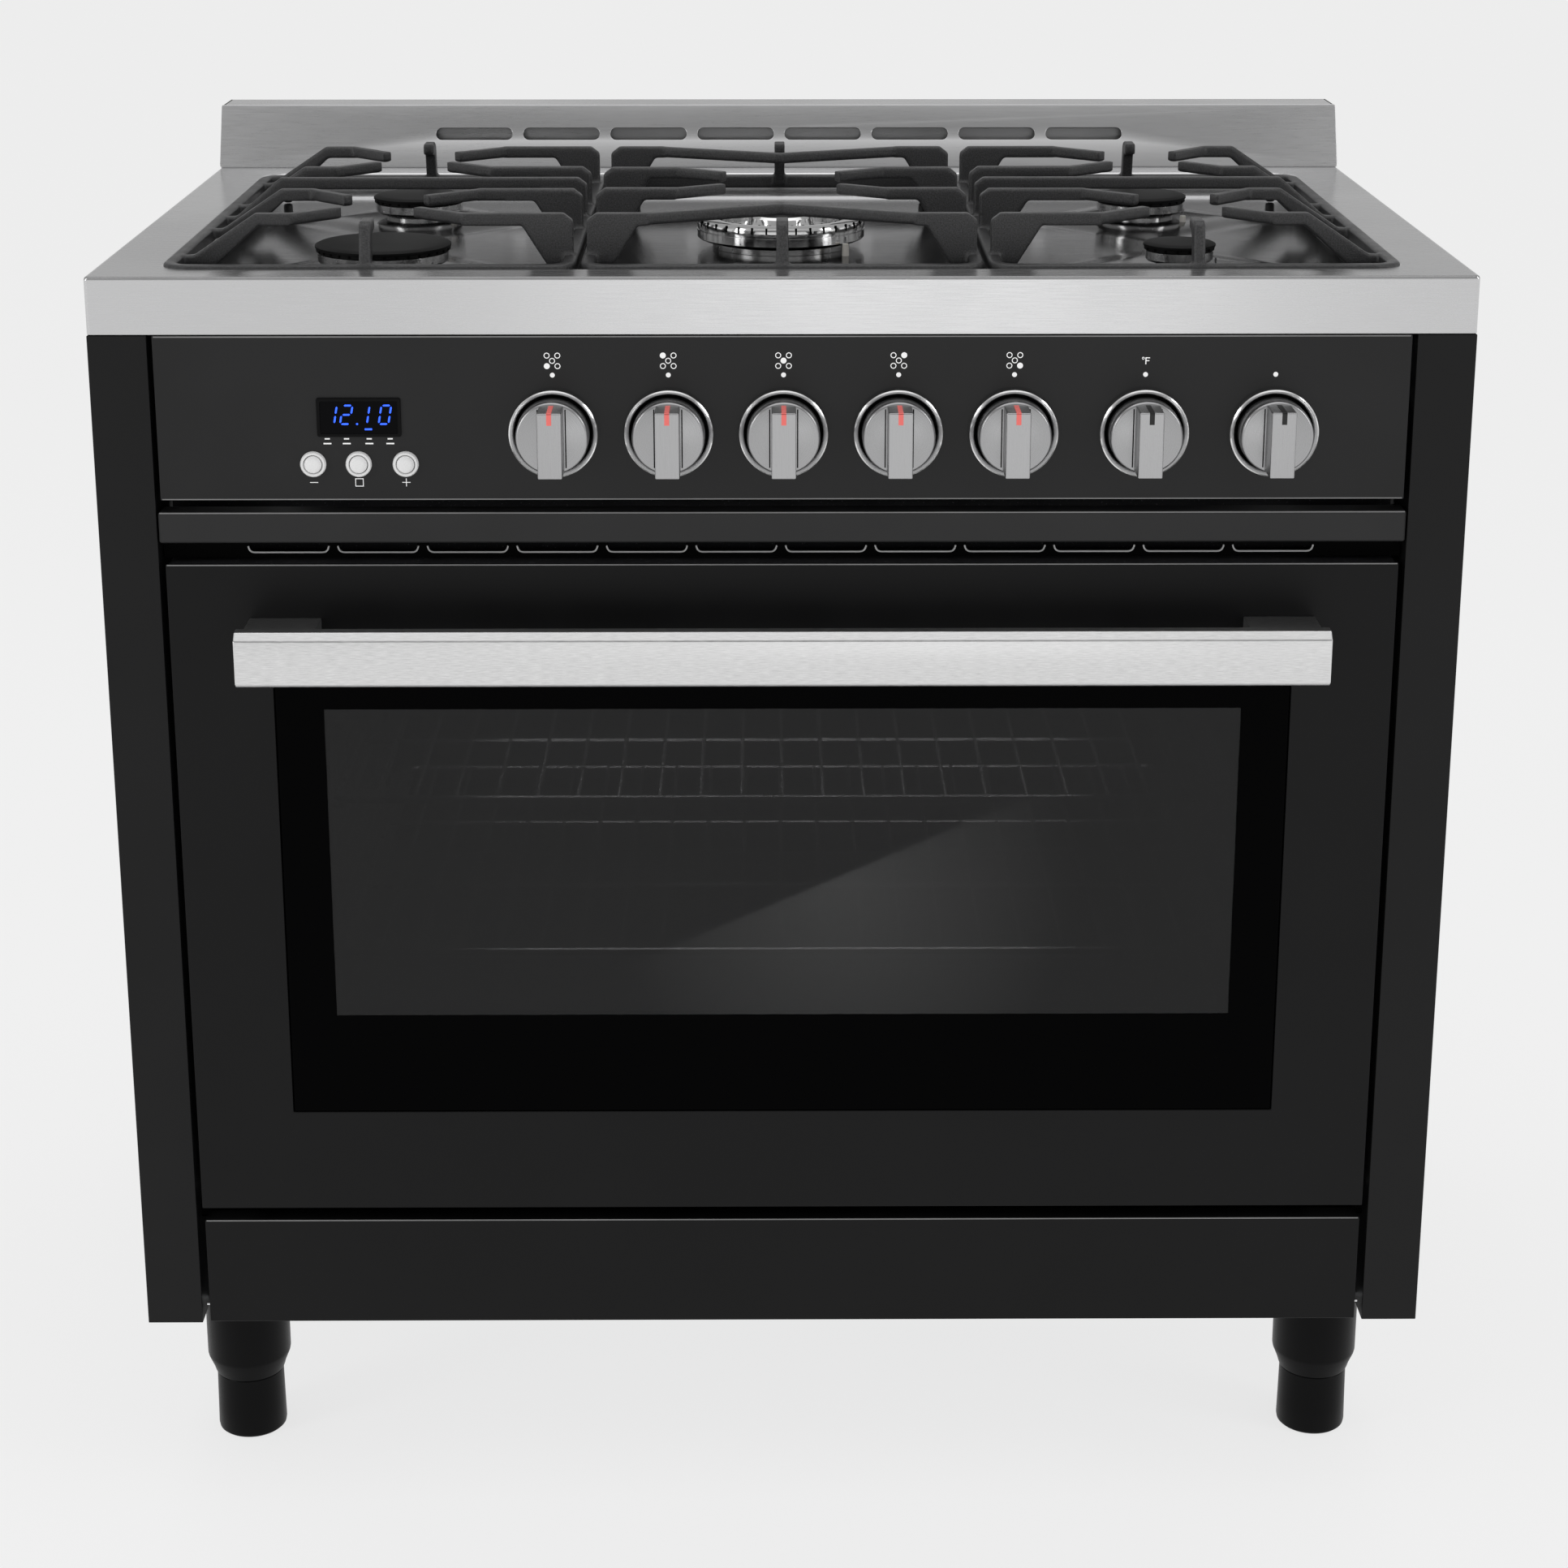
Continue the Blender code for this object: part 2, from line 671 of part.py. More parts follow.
def make_oven():
    """The cavity with its front frame, and the seal round its mouth."""
    width = OVEN_HALF_WIDTH + OVEN_WALL
    frame = box("oven_cavity", (-0.4145, OVEN_FRONT, 0.232), (0.4145, OVEN_FRONT + 0.003, 0.745))
    shell = box(
        "oven_shell",
        (-width, OVEN_FRONT + 0.001, OVEN_LOW - OVEN_WALL),
        (width, OVEN_BACK + OVEN_WALL, OVEN_HIGH + OVEN_WALL),
    )
    hollow = box(
        "oven_hollow",
        (-OVEN_HALF_WIDTH, OVEN_FRONT - 0.01, OVEN_LOW),
        (OVEN_HALF_WIDTH, OVEN_BACK, OVEN_HIGH),
    )
    finish(cut(join(frame, shell), hollow), ENAMEL)
    seal = plate(
        "door_gasket",
        [
            rounded_rectangle((-0.347, 0.301), (0.347, 0.672), 0.012, 3),
            rounded_rectangle((-0.335, 0.313), (0.335, 0.660), 0.006, 3),
        ],
        DOOR_BACK + 0.0005,
        OVEN_FRONT - GAP,
        "Y",
    )
    finish(seal, RUBBER)


def make_racks():
    """A ladder of shelf rails on each side wall, and two wire racks on them."""
    for side, name in ((-1, "rack_support_left"), (1, "rack_support_right")):
        wall = OVEN_HALF_WIDTH - 0.0025
        ladder = box(name, *span_x(side, wall - 0.005, wall, 0.100, 0.106, 0.345, 0.630))
        pieces = [box("post", *span_x(side, wall - 0.005, wall, 0.434, 0.440, 0.345, 0.630))]
        pieces += [
            box("rail", *span_x(side, 0.308, wall - 0.001, 0.070, 0.470, z - 0.0045, z - 0.0005))
            for z in SHELF_LEVELS
        ]
        finish(join(ladder, *pieces), CHROME_WIRE)
    for name, level in (("oven_rack_upper", SHELF_LEVELS[2]), ("oven_rack_lower", SHELF_LEVELS[0])):
        edge, front, back = 0.318, 0.062, 0.478
        rack = box(name, (-edge, front, level), (edge, front + 0.006, level + 0.006))
        pieces = [box("wire", (-edge, back - 0.006, level), (edge, back, level + 0.006))]
        for side in (-1, 1):
            pieces.append(box("wire", *span_x(side, edge - 0.006, edge, front, back, level, level + 0.006)))
        for index in range(11):
            x = -0.265 + 0.053 * index
            low = (x - 0.002, front + 0.001, level + 0.001)
            pieces.append(box("wire", low, (x + 0.002, back - 0.001, level + 0.005)))
        low = (-edge + 0.001, 0.268, level + 0.0005)
        pieces.append(box("wire", low, (edge - 0.001, 0.272, level + 0.0045)))
        finish(join(rack, *pieces), CHROME_WIRE)


def span_x(side, near, far, front, back, low, high):
    """The corners of a block between two distances to one side of the middle."""
    x_low, x_high = sorted((side * near, side * far))
    return (x_low, front, low), (x_high, back, high)


def make_oven_fittings():
    tube = rod("broil_burner", (0.0, 0.3198, 0.638), 0.009, 0.360, "Y", segments=12)
    arms = [rod("arm", (0.0, y, 0.638), 0.007, 0.300, "X", segments=12) for y in (0.18, 0.30, 0.42)]
    finish(join(tube, *arms), BURNER_ALLOY)
    lens = rod("oven_lamp", (0.250, 0.4898, 0.598), 0.024, 0.0198, "Y", segments=24)
    finish(soften(lens, 0.003), DARK_GLASS)


def make_door():
    """Outer panel with the dark glass, insulated liner with the inner pane, and the handle."""
    add_body("door", DOOR_HINGE)
    panel = plate(
        "door_panel",
        [
            rectangle((-DOOR_HALF_WIDTH, DOOR_LOW), (DOOR_HALF_WIDTH, DOOR_HIGH)),
            rectangle((-0.3435, 0.3095), (0.3435, 0.6365)),
        ],
        FRONT,
        DOOR_SKIN_BACK,
        "Y",
        "door",
    )
    finish(panel, BLACK_PAINT)
    glass = box("door_glass", (-0.343, FRONT, 0.310), (0.343, 0.0038, 0.636), "door")
    finish(soften(glass, 0.0005), DARK_GLASS)
    liner_half_width = DOOR_HALF_WIDTH - 0.001
    liner = plate(
        "door_liner",
        [
            rectangle((-liner_half_width, DOOR_LOW + 0.001), (liner_half_width, DOOR_HIGH - 0.001)),
            rectangle((-0.3203, 0.3647), (0.3203, 0.6253)),
        ],
        DOOR_SKIN_BACK + GAP,
        DOOR_BACK,
        "Y",
        "door",
    )
    seat = box("glass_seat", (-0.3435, 0.0, 0.3095), (0.3435, 0.0042, 0.6365), "door")
    back = DOOR_BACK - SHEET
    cuts = [
        seat,
        box("top_pocket", (-0.409, 0.0, 0.6268), (0.409, back, DOOR_HIGH - 0.0025), "door"),
        box("sill_pocket", (-0.345, 0.0, DOOR_LOW + 0.0025), (0.345, back, 0.3632), "door"),
    ]
    _, y, z = DOOR_HINGE
    for side in (-1, 1):
        low, high = span_x(side, 0.3218, 0.409, 0.0, back, 0.2900, 0.6400)
        cuts.append(box("side_pocket", low, high, "door"))
        low, high = span_x(side, 0.3585, 0.3775, y - 0.0095, DOOR_BACK + 0.01, DOOR_LOW - 0.01, z + 0.0095)
        cuts.append(box("hinge_notch", low, high, "door"))
        cuts.append(rod("pin_hole", (side * 0.368, y, z), 0.0046, 0.034, "X", "door"))
    finish(cut(liner, *cuts), BLACK_PAINT)
    pane = box("door_inner_glass", (-0.320, 0.022, 0.365), (0.320, 0.026, 0.625), "door")
    finish(pane, DARK_GLASS)
    section = [
        (-0.046, 0.6386),
        (-0.046, 0.6755),
        (-0.0575, 0.6755),
        (-HANDLE_REACH, 0.6730),
        (-HANDLE_REACH, 0.6411),
        (-0.0575, 0.6386),
    ]
    handle = plate("door_handle", [section], -0.359, 0.359, "X", "door")
    mounts = [
        box("handle_mount", *span_x(side, 0.309, 0.357, -0.050, FRONT - GAP, 0.6505, 0.6705), "door")
        for side in (-1, 1)
    ]
    finish(join(handle, *mounts), SATIN_METAL)


def make_door_hinges():
    """Fixed arms that reach into the door, each with a cross pin on the hinge line."""
    _, y, z = DOOR_HINGE
    for side, name in ((-1, "door_hinge_left"), (1, "door_hinge_right")):
        loop = [(OVEN_FRONT - GAP, z - 0.008)]
        for step in range(9):
            angle = math.radians(270 - 22.5 * step)
            loop.append((y + 0.008 * math.cos(angle), z + 0.008 * math.sin(angle)))
        loop.append((OVEN_FRONT - GAP, z + 0.008))
        x_low, x_high = sorted((side * 0.360, side * 0.376))
        arm = plate(name, [loop], x_low, x_high, "X")
        pin = rod("hinge_pin", (side * 0.368, y, z), 0.0040, 0.030, "X")
        finish(join(arm, pin), GALVANISED)


def make_storage_door():
    add_body("storage_door", STORAGE_HINGE)
    body = "storage_door"
    flap = box("storage_door", (-0.410, FRONT, STORAGE_LOW), (0.410, 0.014, STORAGE_HIGH), body)
    pocket = box(
        "storage_door_pocket",
        (-0.4085, FRONT + SHEET, STORAGE_LOW + SHEET),
        (0.4085, 0.020, STORAGE_HIGH - SHEET),
        body,
    )
    finish(cut(flap, pocket), BLACK_PAINT)


def make_legs():
    """A fixed sleeve and a levelling foot that screws down out of it, at each corner."""
    sleeve = [
        (0.0, 0.1462),
        (SLEEVE_RADIUS, 0.1462),
        (SLEEVE_RADIUS, 0.066),
        (0.0290, 0.058),
        (0.0265, SLEEVE_LOW),
        (0.0125, SLEEVE_LOW),
        (0.0125, 0.130),
        (0.0, 0.130),
    ]
    foot = [
        (0.0, 0.105),
        (0.0120, 0.105),
        (0.0120, SLEEVE_LOW - GAP),
        (FOOT_RADIUS - 0.002, SLEEVE_LOW - GAP),
        (FOOT_RADIUS - 0.001, 0.044),
        (FOOT_RADIUS, 0.003),
        (FOOT_RADIUS - 0.002, 0.0),
        (0.0, 0.0),
    ]
    for row, y in zip(("front", "rear"), LEG_Y):
        for side, hand in ((-1, "left"), (1, "right")):
            at = (side * LEG_X, y, 0.0)
            finish(turned(f"leg_sleeve_{row}_{hand}", sleeve, at, segments=20), BLACK_PLASTIC)
            body = f"foot_{row}_{hand}"
            add_body(body, at)
            finish(turned(body, foot, at, body, 20), BLACK_PLASTIC)


KNOB_NAMES = (
    "knob_front_left",
    "knob_rear_left",
    "knob_centre",
    "knob_rear_right",
    "knob_front_right",
    "knob_oven_temperature",
    "knob_oven_function",
)
BURNER_PLACES = {
    "front_left": (-BURNER_X, FRONT_BURNER_Y),
    "rear_left": (-BURNER_X, REAR_BURNER_Y),
    "centre": (0.0, CENTRE_BURNER_Y),
    "rear_right": (BURNER_X, REAR_BURNER_Y),
    "front_right": (BURNER_X, FRONT_BURNER_Y),
}
CAP_RADIUS = {"front_left": 0.047, "rear_left": 0.0345, "rear_right": 0.0345, "front_right": 0.025}

clear_scene()
PARTS = new_collection("gas_range", bpy.context.scene.collection)
HELPERS = new_collection("cutters", bpy.context.scene.collection, helper=True)
BODIES = {"root": (add_empty("range_origin", (0.0, (HANDLE_REACH - DEPTH) / 2, 0.0)), (0.0, 0.0, 0.0))}

make_side_panels()
make_back_and_base()
make_cooktop()
make_backguard()
make_control_panel()
make_trim_and_vent()
make_knobs()
make_buttons()
make_gas_parts()
make_burners()
make_grates()
make_oven()
make_racks()
make_oven_fittings()
make_door()
make_door_hinges()
make_storage_door()
make_legs()
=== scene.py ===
"""The looks of a freestanding gas range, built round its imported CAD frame."""

import math

import bmesh
import bpy
from mathutils import Matrix, Vector
from mathutils.geometry import intersect_line_plane


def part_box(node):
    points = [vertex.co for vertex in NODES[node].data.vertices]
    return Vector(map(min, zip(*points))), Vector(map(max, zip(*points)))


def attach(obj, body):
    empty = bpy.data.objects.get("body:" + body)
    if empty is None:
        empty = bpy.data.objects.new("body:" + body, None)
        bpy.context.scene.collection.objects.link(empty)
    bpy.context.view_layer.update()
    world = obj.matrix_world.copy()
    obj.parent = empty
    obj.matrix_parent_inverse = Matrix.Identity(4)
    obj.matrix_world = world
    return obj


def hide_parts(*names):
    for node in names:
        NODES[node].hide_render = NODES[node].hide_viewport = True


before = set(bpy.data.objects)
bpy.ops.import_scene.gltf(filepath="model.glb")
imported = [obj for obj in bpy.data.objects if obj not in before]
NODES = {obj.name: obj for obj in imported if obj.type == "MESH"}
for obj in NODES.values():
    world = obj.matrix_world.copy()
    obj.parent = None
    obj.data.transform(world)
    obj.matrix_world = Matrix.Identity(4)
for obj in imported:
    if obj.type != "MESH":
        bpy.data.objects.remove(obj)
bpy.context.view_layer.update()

# Driving sizes, in metres, that several functions share.
WELD_DISTANCE = 0.00001
SHEET = 0.0015
INK_DEPTH = 0.00012
BASE_DEPTH = 0.018
GUARD_SLOTS = 8
GUARD_SLOT_PITCH = 0.0711
GUARD_SLOT_FIRST_X = -0.2488
VENT_LIPS = 12
VENT_LIP_PITCH = 0.060
VENT_LIP_FIRST_X = -0.331
CROWN_SLOTS = 36
RACK_BARS = 21
GRIP_FRONT = 0.0448

# Places that the pieces are built from.
FRONT_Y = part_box("side_panel_left")[0].y
PAN_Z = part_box("burner_base_centre")[0].z + BASE_DEPTH
EYE = Vector((-0.011, FRONT_Y - 1.993, 1.238))
EYE_DROP = 16.1
EYE_TURN = -0.34
PLACES = ("front_left", "rear_left", "centre", "rear_right", "front_right")
KNOBS = tuple(f"knob_{place}" for place in (*PLACES, "oven_temperature", "oven_function"))
BUTTONS = tuple(f"timer_button_{number}" for number in (1, 2, 3))
GRATES = ("grate_left", "grate_centre", "grate_right")
SMOOTH_ANGLE = math.radians(32)
FACE_Y = Matrix.Rotation(math.radians(90), 4, "X")

# The door's window, the glass's colours, and the floor's own light.
BORDER_BLACK = (0.0008, 0.0008, 0.0009)
WINDOW_TINT = (0.012, 0.012, 0.0125)
WINDOW_LOW = Vector((-0.310, 0.0, 0.3830))
WINDOW_HIGH = Vector((0.310, 0.0, 0.6060))
FLOOR_GLOW = 0.735


# ---- materials


def material(name, colour, roughness, metallic=0.0):
    """A Principled material, and a small kit for adding nodes to it."""
    made = bpy.data.materials.new(name)
    made.use_nodes = True
    tree = made.node_tree
    shader = tree.nodes["Principled BSDF"]
    shader.inputs["Base Color"].default_value = (*colour, 1.0)
    shader.inputs["Roughness"].default_value = roughness
    shader.inputs["Metallic"].default_value = metallic
    return made, tree, shader


def node(tree, kind, links=(), **values):
    """A node with its properties, sockets ("in_NAME") and incoming links set."""
    made = tree.nodes.new(kind)
    for key, value in values.items():
        if key.startswith("in_"):
            made.inputs[key[3:].replace("_", " ")].default_value = value
        else:
            setattr(made, key, value)
    for socket, source in links:
        tree.links.new(source, made.inputs[socket])
    return made


def object_noise(tree, scale, stretch=(1.0, 1.0, 1.0), detail=3.0, roughness=0.55):
    """Noise in the piece's own metres, stretched along an axis for a grain."""
    place = node(tree, "ShaderNodeTexCoord")
    mapping = node(
        tree, "ShaderNodeMapping", [("Vector", place.outputs["Object"])], in_Scale=stretch
    )
    return node(
        tree,
        "ShaderNodeTexNoise",
        [("Vector", mapping.outputs["Vector"])],
        in_Scale=scale,
        in_Detail=detail,
        in_Roughness=roughness,
    ).outputs["Fac"]


def to_range(tree, value, low, high, from_low=0.3, from_high=0.7):
    """A value from a texture, stretched to run between low and high."""
    made = node(tree, "ShaderNodeMapRange", [("Value", value)])
    limits = {"From Min": from_low, "From Max": from_high, "To Min": low, "To Max": high}
    for socket, number in limits.items():
        made.inputs[socket].default_value = number
    return made.outputs["Result"]


def two_colours(tree, value, dark, light):
    """A texture's value as a blend of two colours."""
    ramp = node(tree, "ShaderNodeValToRGB", [("Fac", value)])
    ramp.color_ramp.elements[0].position = 0.35
    ramp.color_ramp.elements[0].color = (*dark, 1.0)
    ramp.color_ramp.elements[1].position = 0.65
    ramp.color_ramp.elements[1].color = (*light, 1.0)
    return ramp.outputs["Color"]


def add_bump(tree, shader, height, strength, distance):
    bump = node(tree, "ShaderNodeBump", [("Height", height)], in_Strength=strength, in_Distance=distance)
    tree.links.new(bump.outputs["Normal"], shader.inputs["Normal"])


def brushed_metal(name, colour, roughness, stretch, strength, contrast, scale):
    """Steel with fine parallel scratches. stretch is small along the grain and large across it."""
    made, tree, shader = material(name, colour, roughness, 1.0)
    grain = object_noise(tree, scale, stretch, detail=4.0, roughness=0.7)
    smudge = object_noise(tree, 7.0, detail=2.0)
    dark = tuple(c * (1 - contrast) for c in colour)
    light = tuple(min(1.0, c * (1 + contrast)) for c in colour)
    tree.links.new(two_colours(tree, grain, dark, light), shader.inputs["Base Color"])
    fine = to_range(tree, grain, roughness - 0.05, roughness + 0.07)
    broad = to_range(tree, smudge, -0.02, 0.03)
    total = node(tree, "ShaderNodeMath", [(0, fine), (1, broad)], operation="ADD")
    tree.links.new(total.outputs[0], shader.inputs["Roughness"])
    add_bump(tree, shader, grain, strength, 0.00003)
    return made


def painted_metal(name, colour, roughness, specular=0.35, strength=0.12):
    """Satin powder paint: a fine orange peel, and faint smudges in its gloss."""
    made, tree, shader = material(name, colour, roughness)
    shader.inputs["Specular IOR Level"].default_value = specular
    peel = object_noise(tree, 1400.0, detail=2.0)
    smudge = object_noise(tree, 9.0, detail=3.0)
    dark = tuple(c * 0.88 for c in colour)
    light = tuple(c * 1.12 for c in colour)
    tree.links.new(two_colours(tree, smudge, dark, light), shader.inputs["Base Color"])
    tree.links.new(to_range(tree, smudge, roughness - 0.04, roughness + 0.05), shader.inputs["Roughness"])
    add_bump(tree, shader, peel, strength, 0.00004)
    return made


def cast_iron():
    """Enamelled cast iron: a sandy skin with lighter grains."""
    made, tree, shader = material("cast_iron", (0.03, 0.03, 0.031), 0.5)
    shader.inputs["Specular IOR Level"].default_value = 0.60
    grain = object_noise(tree, 1000.0, detail=4.0, roughness=0.75)
    broad = object_noise(tree, 40.0, detail=2.0)
    tree.links.new(
        two_colours(tree, grain, (0.004, 0.004, 0.0045), (0.060, 0.060, 0.062)),
        shader.inputs["Base Color"],
    )
    tree.links.new(to_range(tree, broad, 0.30, 0.44), shader.inputs["Roughness"])
    add_bump(tree, shader, grain, 0.8, 0.0004)
    return made


def machined_alloy(name, colour, roughness):
    """Turned alloy with a soft mottle."""
    made, tree, shader = material(name, colour, roughness, 1.0)
    mottle = object_noise(tree, 260.0, detail=3.0)
    tree.links.new(to_range(tree, mottle, roughness - 0.05, roughness + 0.08), shader.inputs["Roughness"])
    add_bump(tree, shader, mottle, 0.08, 0.00005)
    return made


def turned_metal(name, colour, roughness, centre):
    """A face brushed in rings about an axis through centre, as on a knob."""
    made, tree, shader = material(name, colour, roughness, 1.0)
    place = node(tree, "ShaderNodeTexCoord")
    offset = node(tree, "ShaderNodeVectorMath", [(0, place.outputs["Object"])], operation="SUBTRACT")
    offset.inputs[1].default_value = (centre.x, 0.0, centre.z)
    flat = node(tree, "ShaderNodeVectorMath", [(0, offset.outputs[0])], operation="MULTIPLY")
    flat.inputs[1].default_value = (1.0, 0.0, 1.0)
    radius = node(tree, "ShaderNodeVectorMath", [(0, flat.outputs[0])], operation="LENGTH")
    rings = node(
        tree,
        "ShaderNodeTexNoise",
        [("W", radius.outputs["Value"])],
        noise_dimensions="1D",
        in_Scale=2600.0,
        in_Detail=3.0,
    ).outputs["Fac"]
    dark = tuple(c * 0.93 for c in colour)
    tree.links.new(two_colours(tree, rings, dark, colour), shader.inputs["Base Color"])
    tree.links.new(to_range(tree, rings, roughness - 0.05, roughness + 0.06), shader.inputs["Roughness"])
    add_bump(tree, shader, rings, 0.12, 0.00003)
    return made


def plastic(name, colour, roughness, specular=0.4, glow=0.0):
    """Moulded plastic or printed ink, with a fine spark-eroded grain."""
    made, tree, shader = material(name, colour, roughness)
    shader.inputs["Specular IOR Level"].default_value = specular
    shader.inputs["Emission Color"].default_value = (*colour, 1.0)
    shader.inputs["Emission Strength"].default_value = glow
    grain = object_noise(tree, 1100.0, detail=3.0)
    tree.links.new(to_range(tree, grain, roughness - 0.05, roughness + 0.06), shader.inputs["Roughness"])
    add_bump(tree, shader, grain, 0.15, 0.00005)
    return made


def enamel():
    """Speckled oven enamel."""
    made, tree, shader = material("oven_enamel", (0.03, 0.03, 0.033), 0.28)
    specks = object_noise(tree, 700.0, detail=1.0)
    ramp = node(tree, "ShaderNodeValToRGB", [("Fac", specks)])
    ramp.color_ramp.elements[0].position = 0.66
    ramp.color_ramp.elements[0].color = (0.028, 0.028, 0.031, 1.0)
    ramp.color_ramp.elements[1].position = 0.72
    ramp.color_ramp.elements[1].color = (0.16, 0.16, 0.17, 1.0)
    tree.links.new(ramp.outputs["Color"], shader.inputs["Base Color"])
    add_bump(tree, shader, object_noise(tree, 60.0), 0.05, 0.0003)
    return made


def printed_glass(name, window_low, window_high):
    """Door glass: a black printed border, and a tinted middle that lets some light through."""
    made, tree, shader = material(name, BORDER_BLACK, 0.04)
    shader.inputs["Specular IOR Level"].default_value = 0.02
    place = node(tree, "ShaderNodeTexCoord")
    parts = node(tree, "ShaderNodeSeparateXYZ", [("Vector", place.outputs["Object"])])
    masks = []
    for axis, low, high in (("X", window_low.x, window_high.x), ("Z", window_low.z, window_high.z)):
        middle = node(tree, "ShaderNodeMath", [(0, parts.outputs[axis])], operation="SUBTRACT")
        middle.inputs[1].default_value = (low + high) / 2
        distance = node(tree, "ShaderNodeMath", [(0, middle.outputs[0])], operation="ABSOLUTE")
        inside = node(tree, "ShaderNodeMath", [(0, distance.outputs[0])], operation="LESS_THAN")
        inside.inputs[1].default_value = (high - low) / 2
        masks.append(inside.outputs[0])
    window = node(tree, "ShaderNodeMath", [(0, masks[0]), (1, masks[1])], operation="MULTIPLY")
    alpha = to_range(tree, window.outputs[0], 1.0, 0.55, 0.0, 1.0)
    tree.links.new(alpha, shader.inputs["Alpha"])
    tint = node(tree, "ShaderNodeMix", [("Factor", window.outputs[0])], data_type="RGBA")
    tint.inputs["A"].default_value = (*BORDER_BLACK, 1.0)
    tint.inputs["B"].default_value = (*WINDOW_TINT, 1.0)
    tree.links.new(tint.outputs["Result"], shader.inputs["Base Color"])
    tree.links.new(to_range(tree, object_noise(tree, 5.0), 0.03, 0.07), shader.inputs["Roughness"])
    return made


def clear_glass(name, colour, alpha, roughness=0.03, specular=0.5):
    """Thin glass or film, with wiped patches in its gloss."""
    made, tree, shader = material(name, colour, roughness)
    shader.inputs["Specular IOR Level"].default_value = specular
    shader.inputs["Alpha"].default_value = alpha
    wiped = to_range(tree, object_noise(tree, 6.0), roughness, roughness + 0.03)
    tree.links.new(wiped, shader.inputs["Roughness"])
    return made


def glowing(name, colour, strength):
    """A lit segment, a little uneven along its length."""
    made, tree, shader = material(name, (0.0, 0.0, 0.0), 0.4)
    shader.inputs["Emission Strength"].default_value = strength
    flicker = object_noise(tree, 500.0, detail=1.0)
    dim = tuple(c * 0.8 for c in colour)
    tree.links.new(two_colours(tree, flicker, dim, colour), shader.inputs["Emission Color"])
    return made


# ---- geometry


def add_piece(name, shape, look, body, replaces=()):
    """An object from a bmesh in the frame's own metres, riding on a body."""
    mesh = bpy.data.meshes.new(name)
    bmesh.ops.recalc_face_normals(shape, faces=shape.faces)
    shape.to_mesh(mesh)
    shape.free()
    return dress(name, mesh, look, body, replaces)


def dress(name, mesh, look, body, replaces=()):
    """A piece from a finished mesh: its look, its shading, and the body it rides on."""
    mesh.materials.clear()
    mesh.materials.append(look)
    mesh.shade_smooth()
    mesh.set_sharp_from_angle(angle=SMOOTH_ANGLE)
    piece = bpy.data.objects.new(name, mesh)
    bpy.context.scene.collection.objects.link(piece)
    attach(piece, body)
    if replaces:
        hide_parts(*replaces)
    return piece


def soften(piece, width, segments=3, angle=30):
    """Rounded edges, with the shading kept flat on the big faces."""
    bevel = piece.modifiers.new("Edges", "BEVEL")
    bevel.width = width
    bevel.segments = segments
    bevel.limit_method = "ANGLE"
    bevel.angle_limit = math.radians(angle)
    bevel.harden_normals = True
    return piece


def add_block(shape, low, high):
    """A box between two corners."""
    size = [b - a for a, b in zip(low, high)]
    middle = Vector([(a + b) / 2 for a, b in zip(low, high)])
    matrix = Matrix.Translation(middle) @ Matrix.Diagonal((*size, 1.0))
    bmesh.ops.create_cube(shape, size=1.0, matrix=matrix)


def add_rod(shape, centre, radius, length, turn=None, segments=24):
    """A round bar, standing unless it is turned."""
    bmesh.ops.create_cone(
        shape,
        cap_ends=True,
        segments=segments,
        radius1=radius,
        radius2=radius,
        depth=length,
        matrix=Matrix.Translation(centre) @ (turn or Matrix.Identity(4)),
    )


def add_turned(shape, profile, centre, facing_front=False, segments=64):
    """A lathe: (radius, height) points about an axis through centre."""
    turn = FACE_Y if facing_front else Matrix.Identity(4)
    matrix = Matrix.Translation(centre) @ turn
    angles = [math.tau * step / segments for step in range(segments)]
    rings = []
    for radius, height in profile:
        if radius == 0.0:
            points = [Vector((0.0, 0.0, height))]
        else:
            points = [Vector((radius * math.cos(a), radius * math.sin(a), height)) for a in angles]
        rings.append([shape.verts.new(matrix @ point) for point in points])
    bridge_rings(shape, rings)


def add_turned_piece(name, profile, axis, look, body, slot, replaces=(), **turning):
    """A piece that is a single lathe form."""
    shape = bmesh.new()
    add_turned(shape, profile, axis, **turning)
    return add_piece(name, shape, look, body, replaces)


def bridge_rings(shape, rings):
    """Faces between closed rings of points, where a ring of one point is a pole."""
    for first, second in zip(rings, rings[1:]):
        count = max(len(first), len(second))
        for i in range(count):
            j = (i + 1) % count
            a, b = i % len(first), j % len(first)
            c, d = j % len(second), i % len(second)
            corners = [first[a], first[b], second[c], second[d]]
            unique = list(dict.fromkeys(corners))
            if len(unique) > 2:
                shape.faces.new(unique)


def rounded_loop(low, high, radius, steps=8):
    """The points of a rectangle with arcs at its corners, anticlockwise."""
    corners = (
        (high[0] - radius, high[1] - radius, 0),
        (low[0] + radius, high[1] - radius, 90),
        (low[0] + radius, low[1] + radius, 180),
        (high[0] - radius, low[1] + radius, 270),
    )
    points = []
    for u, v, start in corners:
        for step in range(steps + 1):
            angle = math.radians(start + 90 * step / steps)
            points.append((u + radius * math.cos(angle), v + radius * math.sin(angle)))
    return points


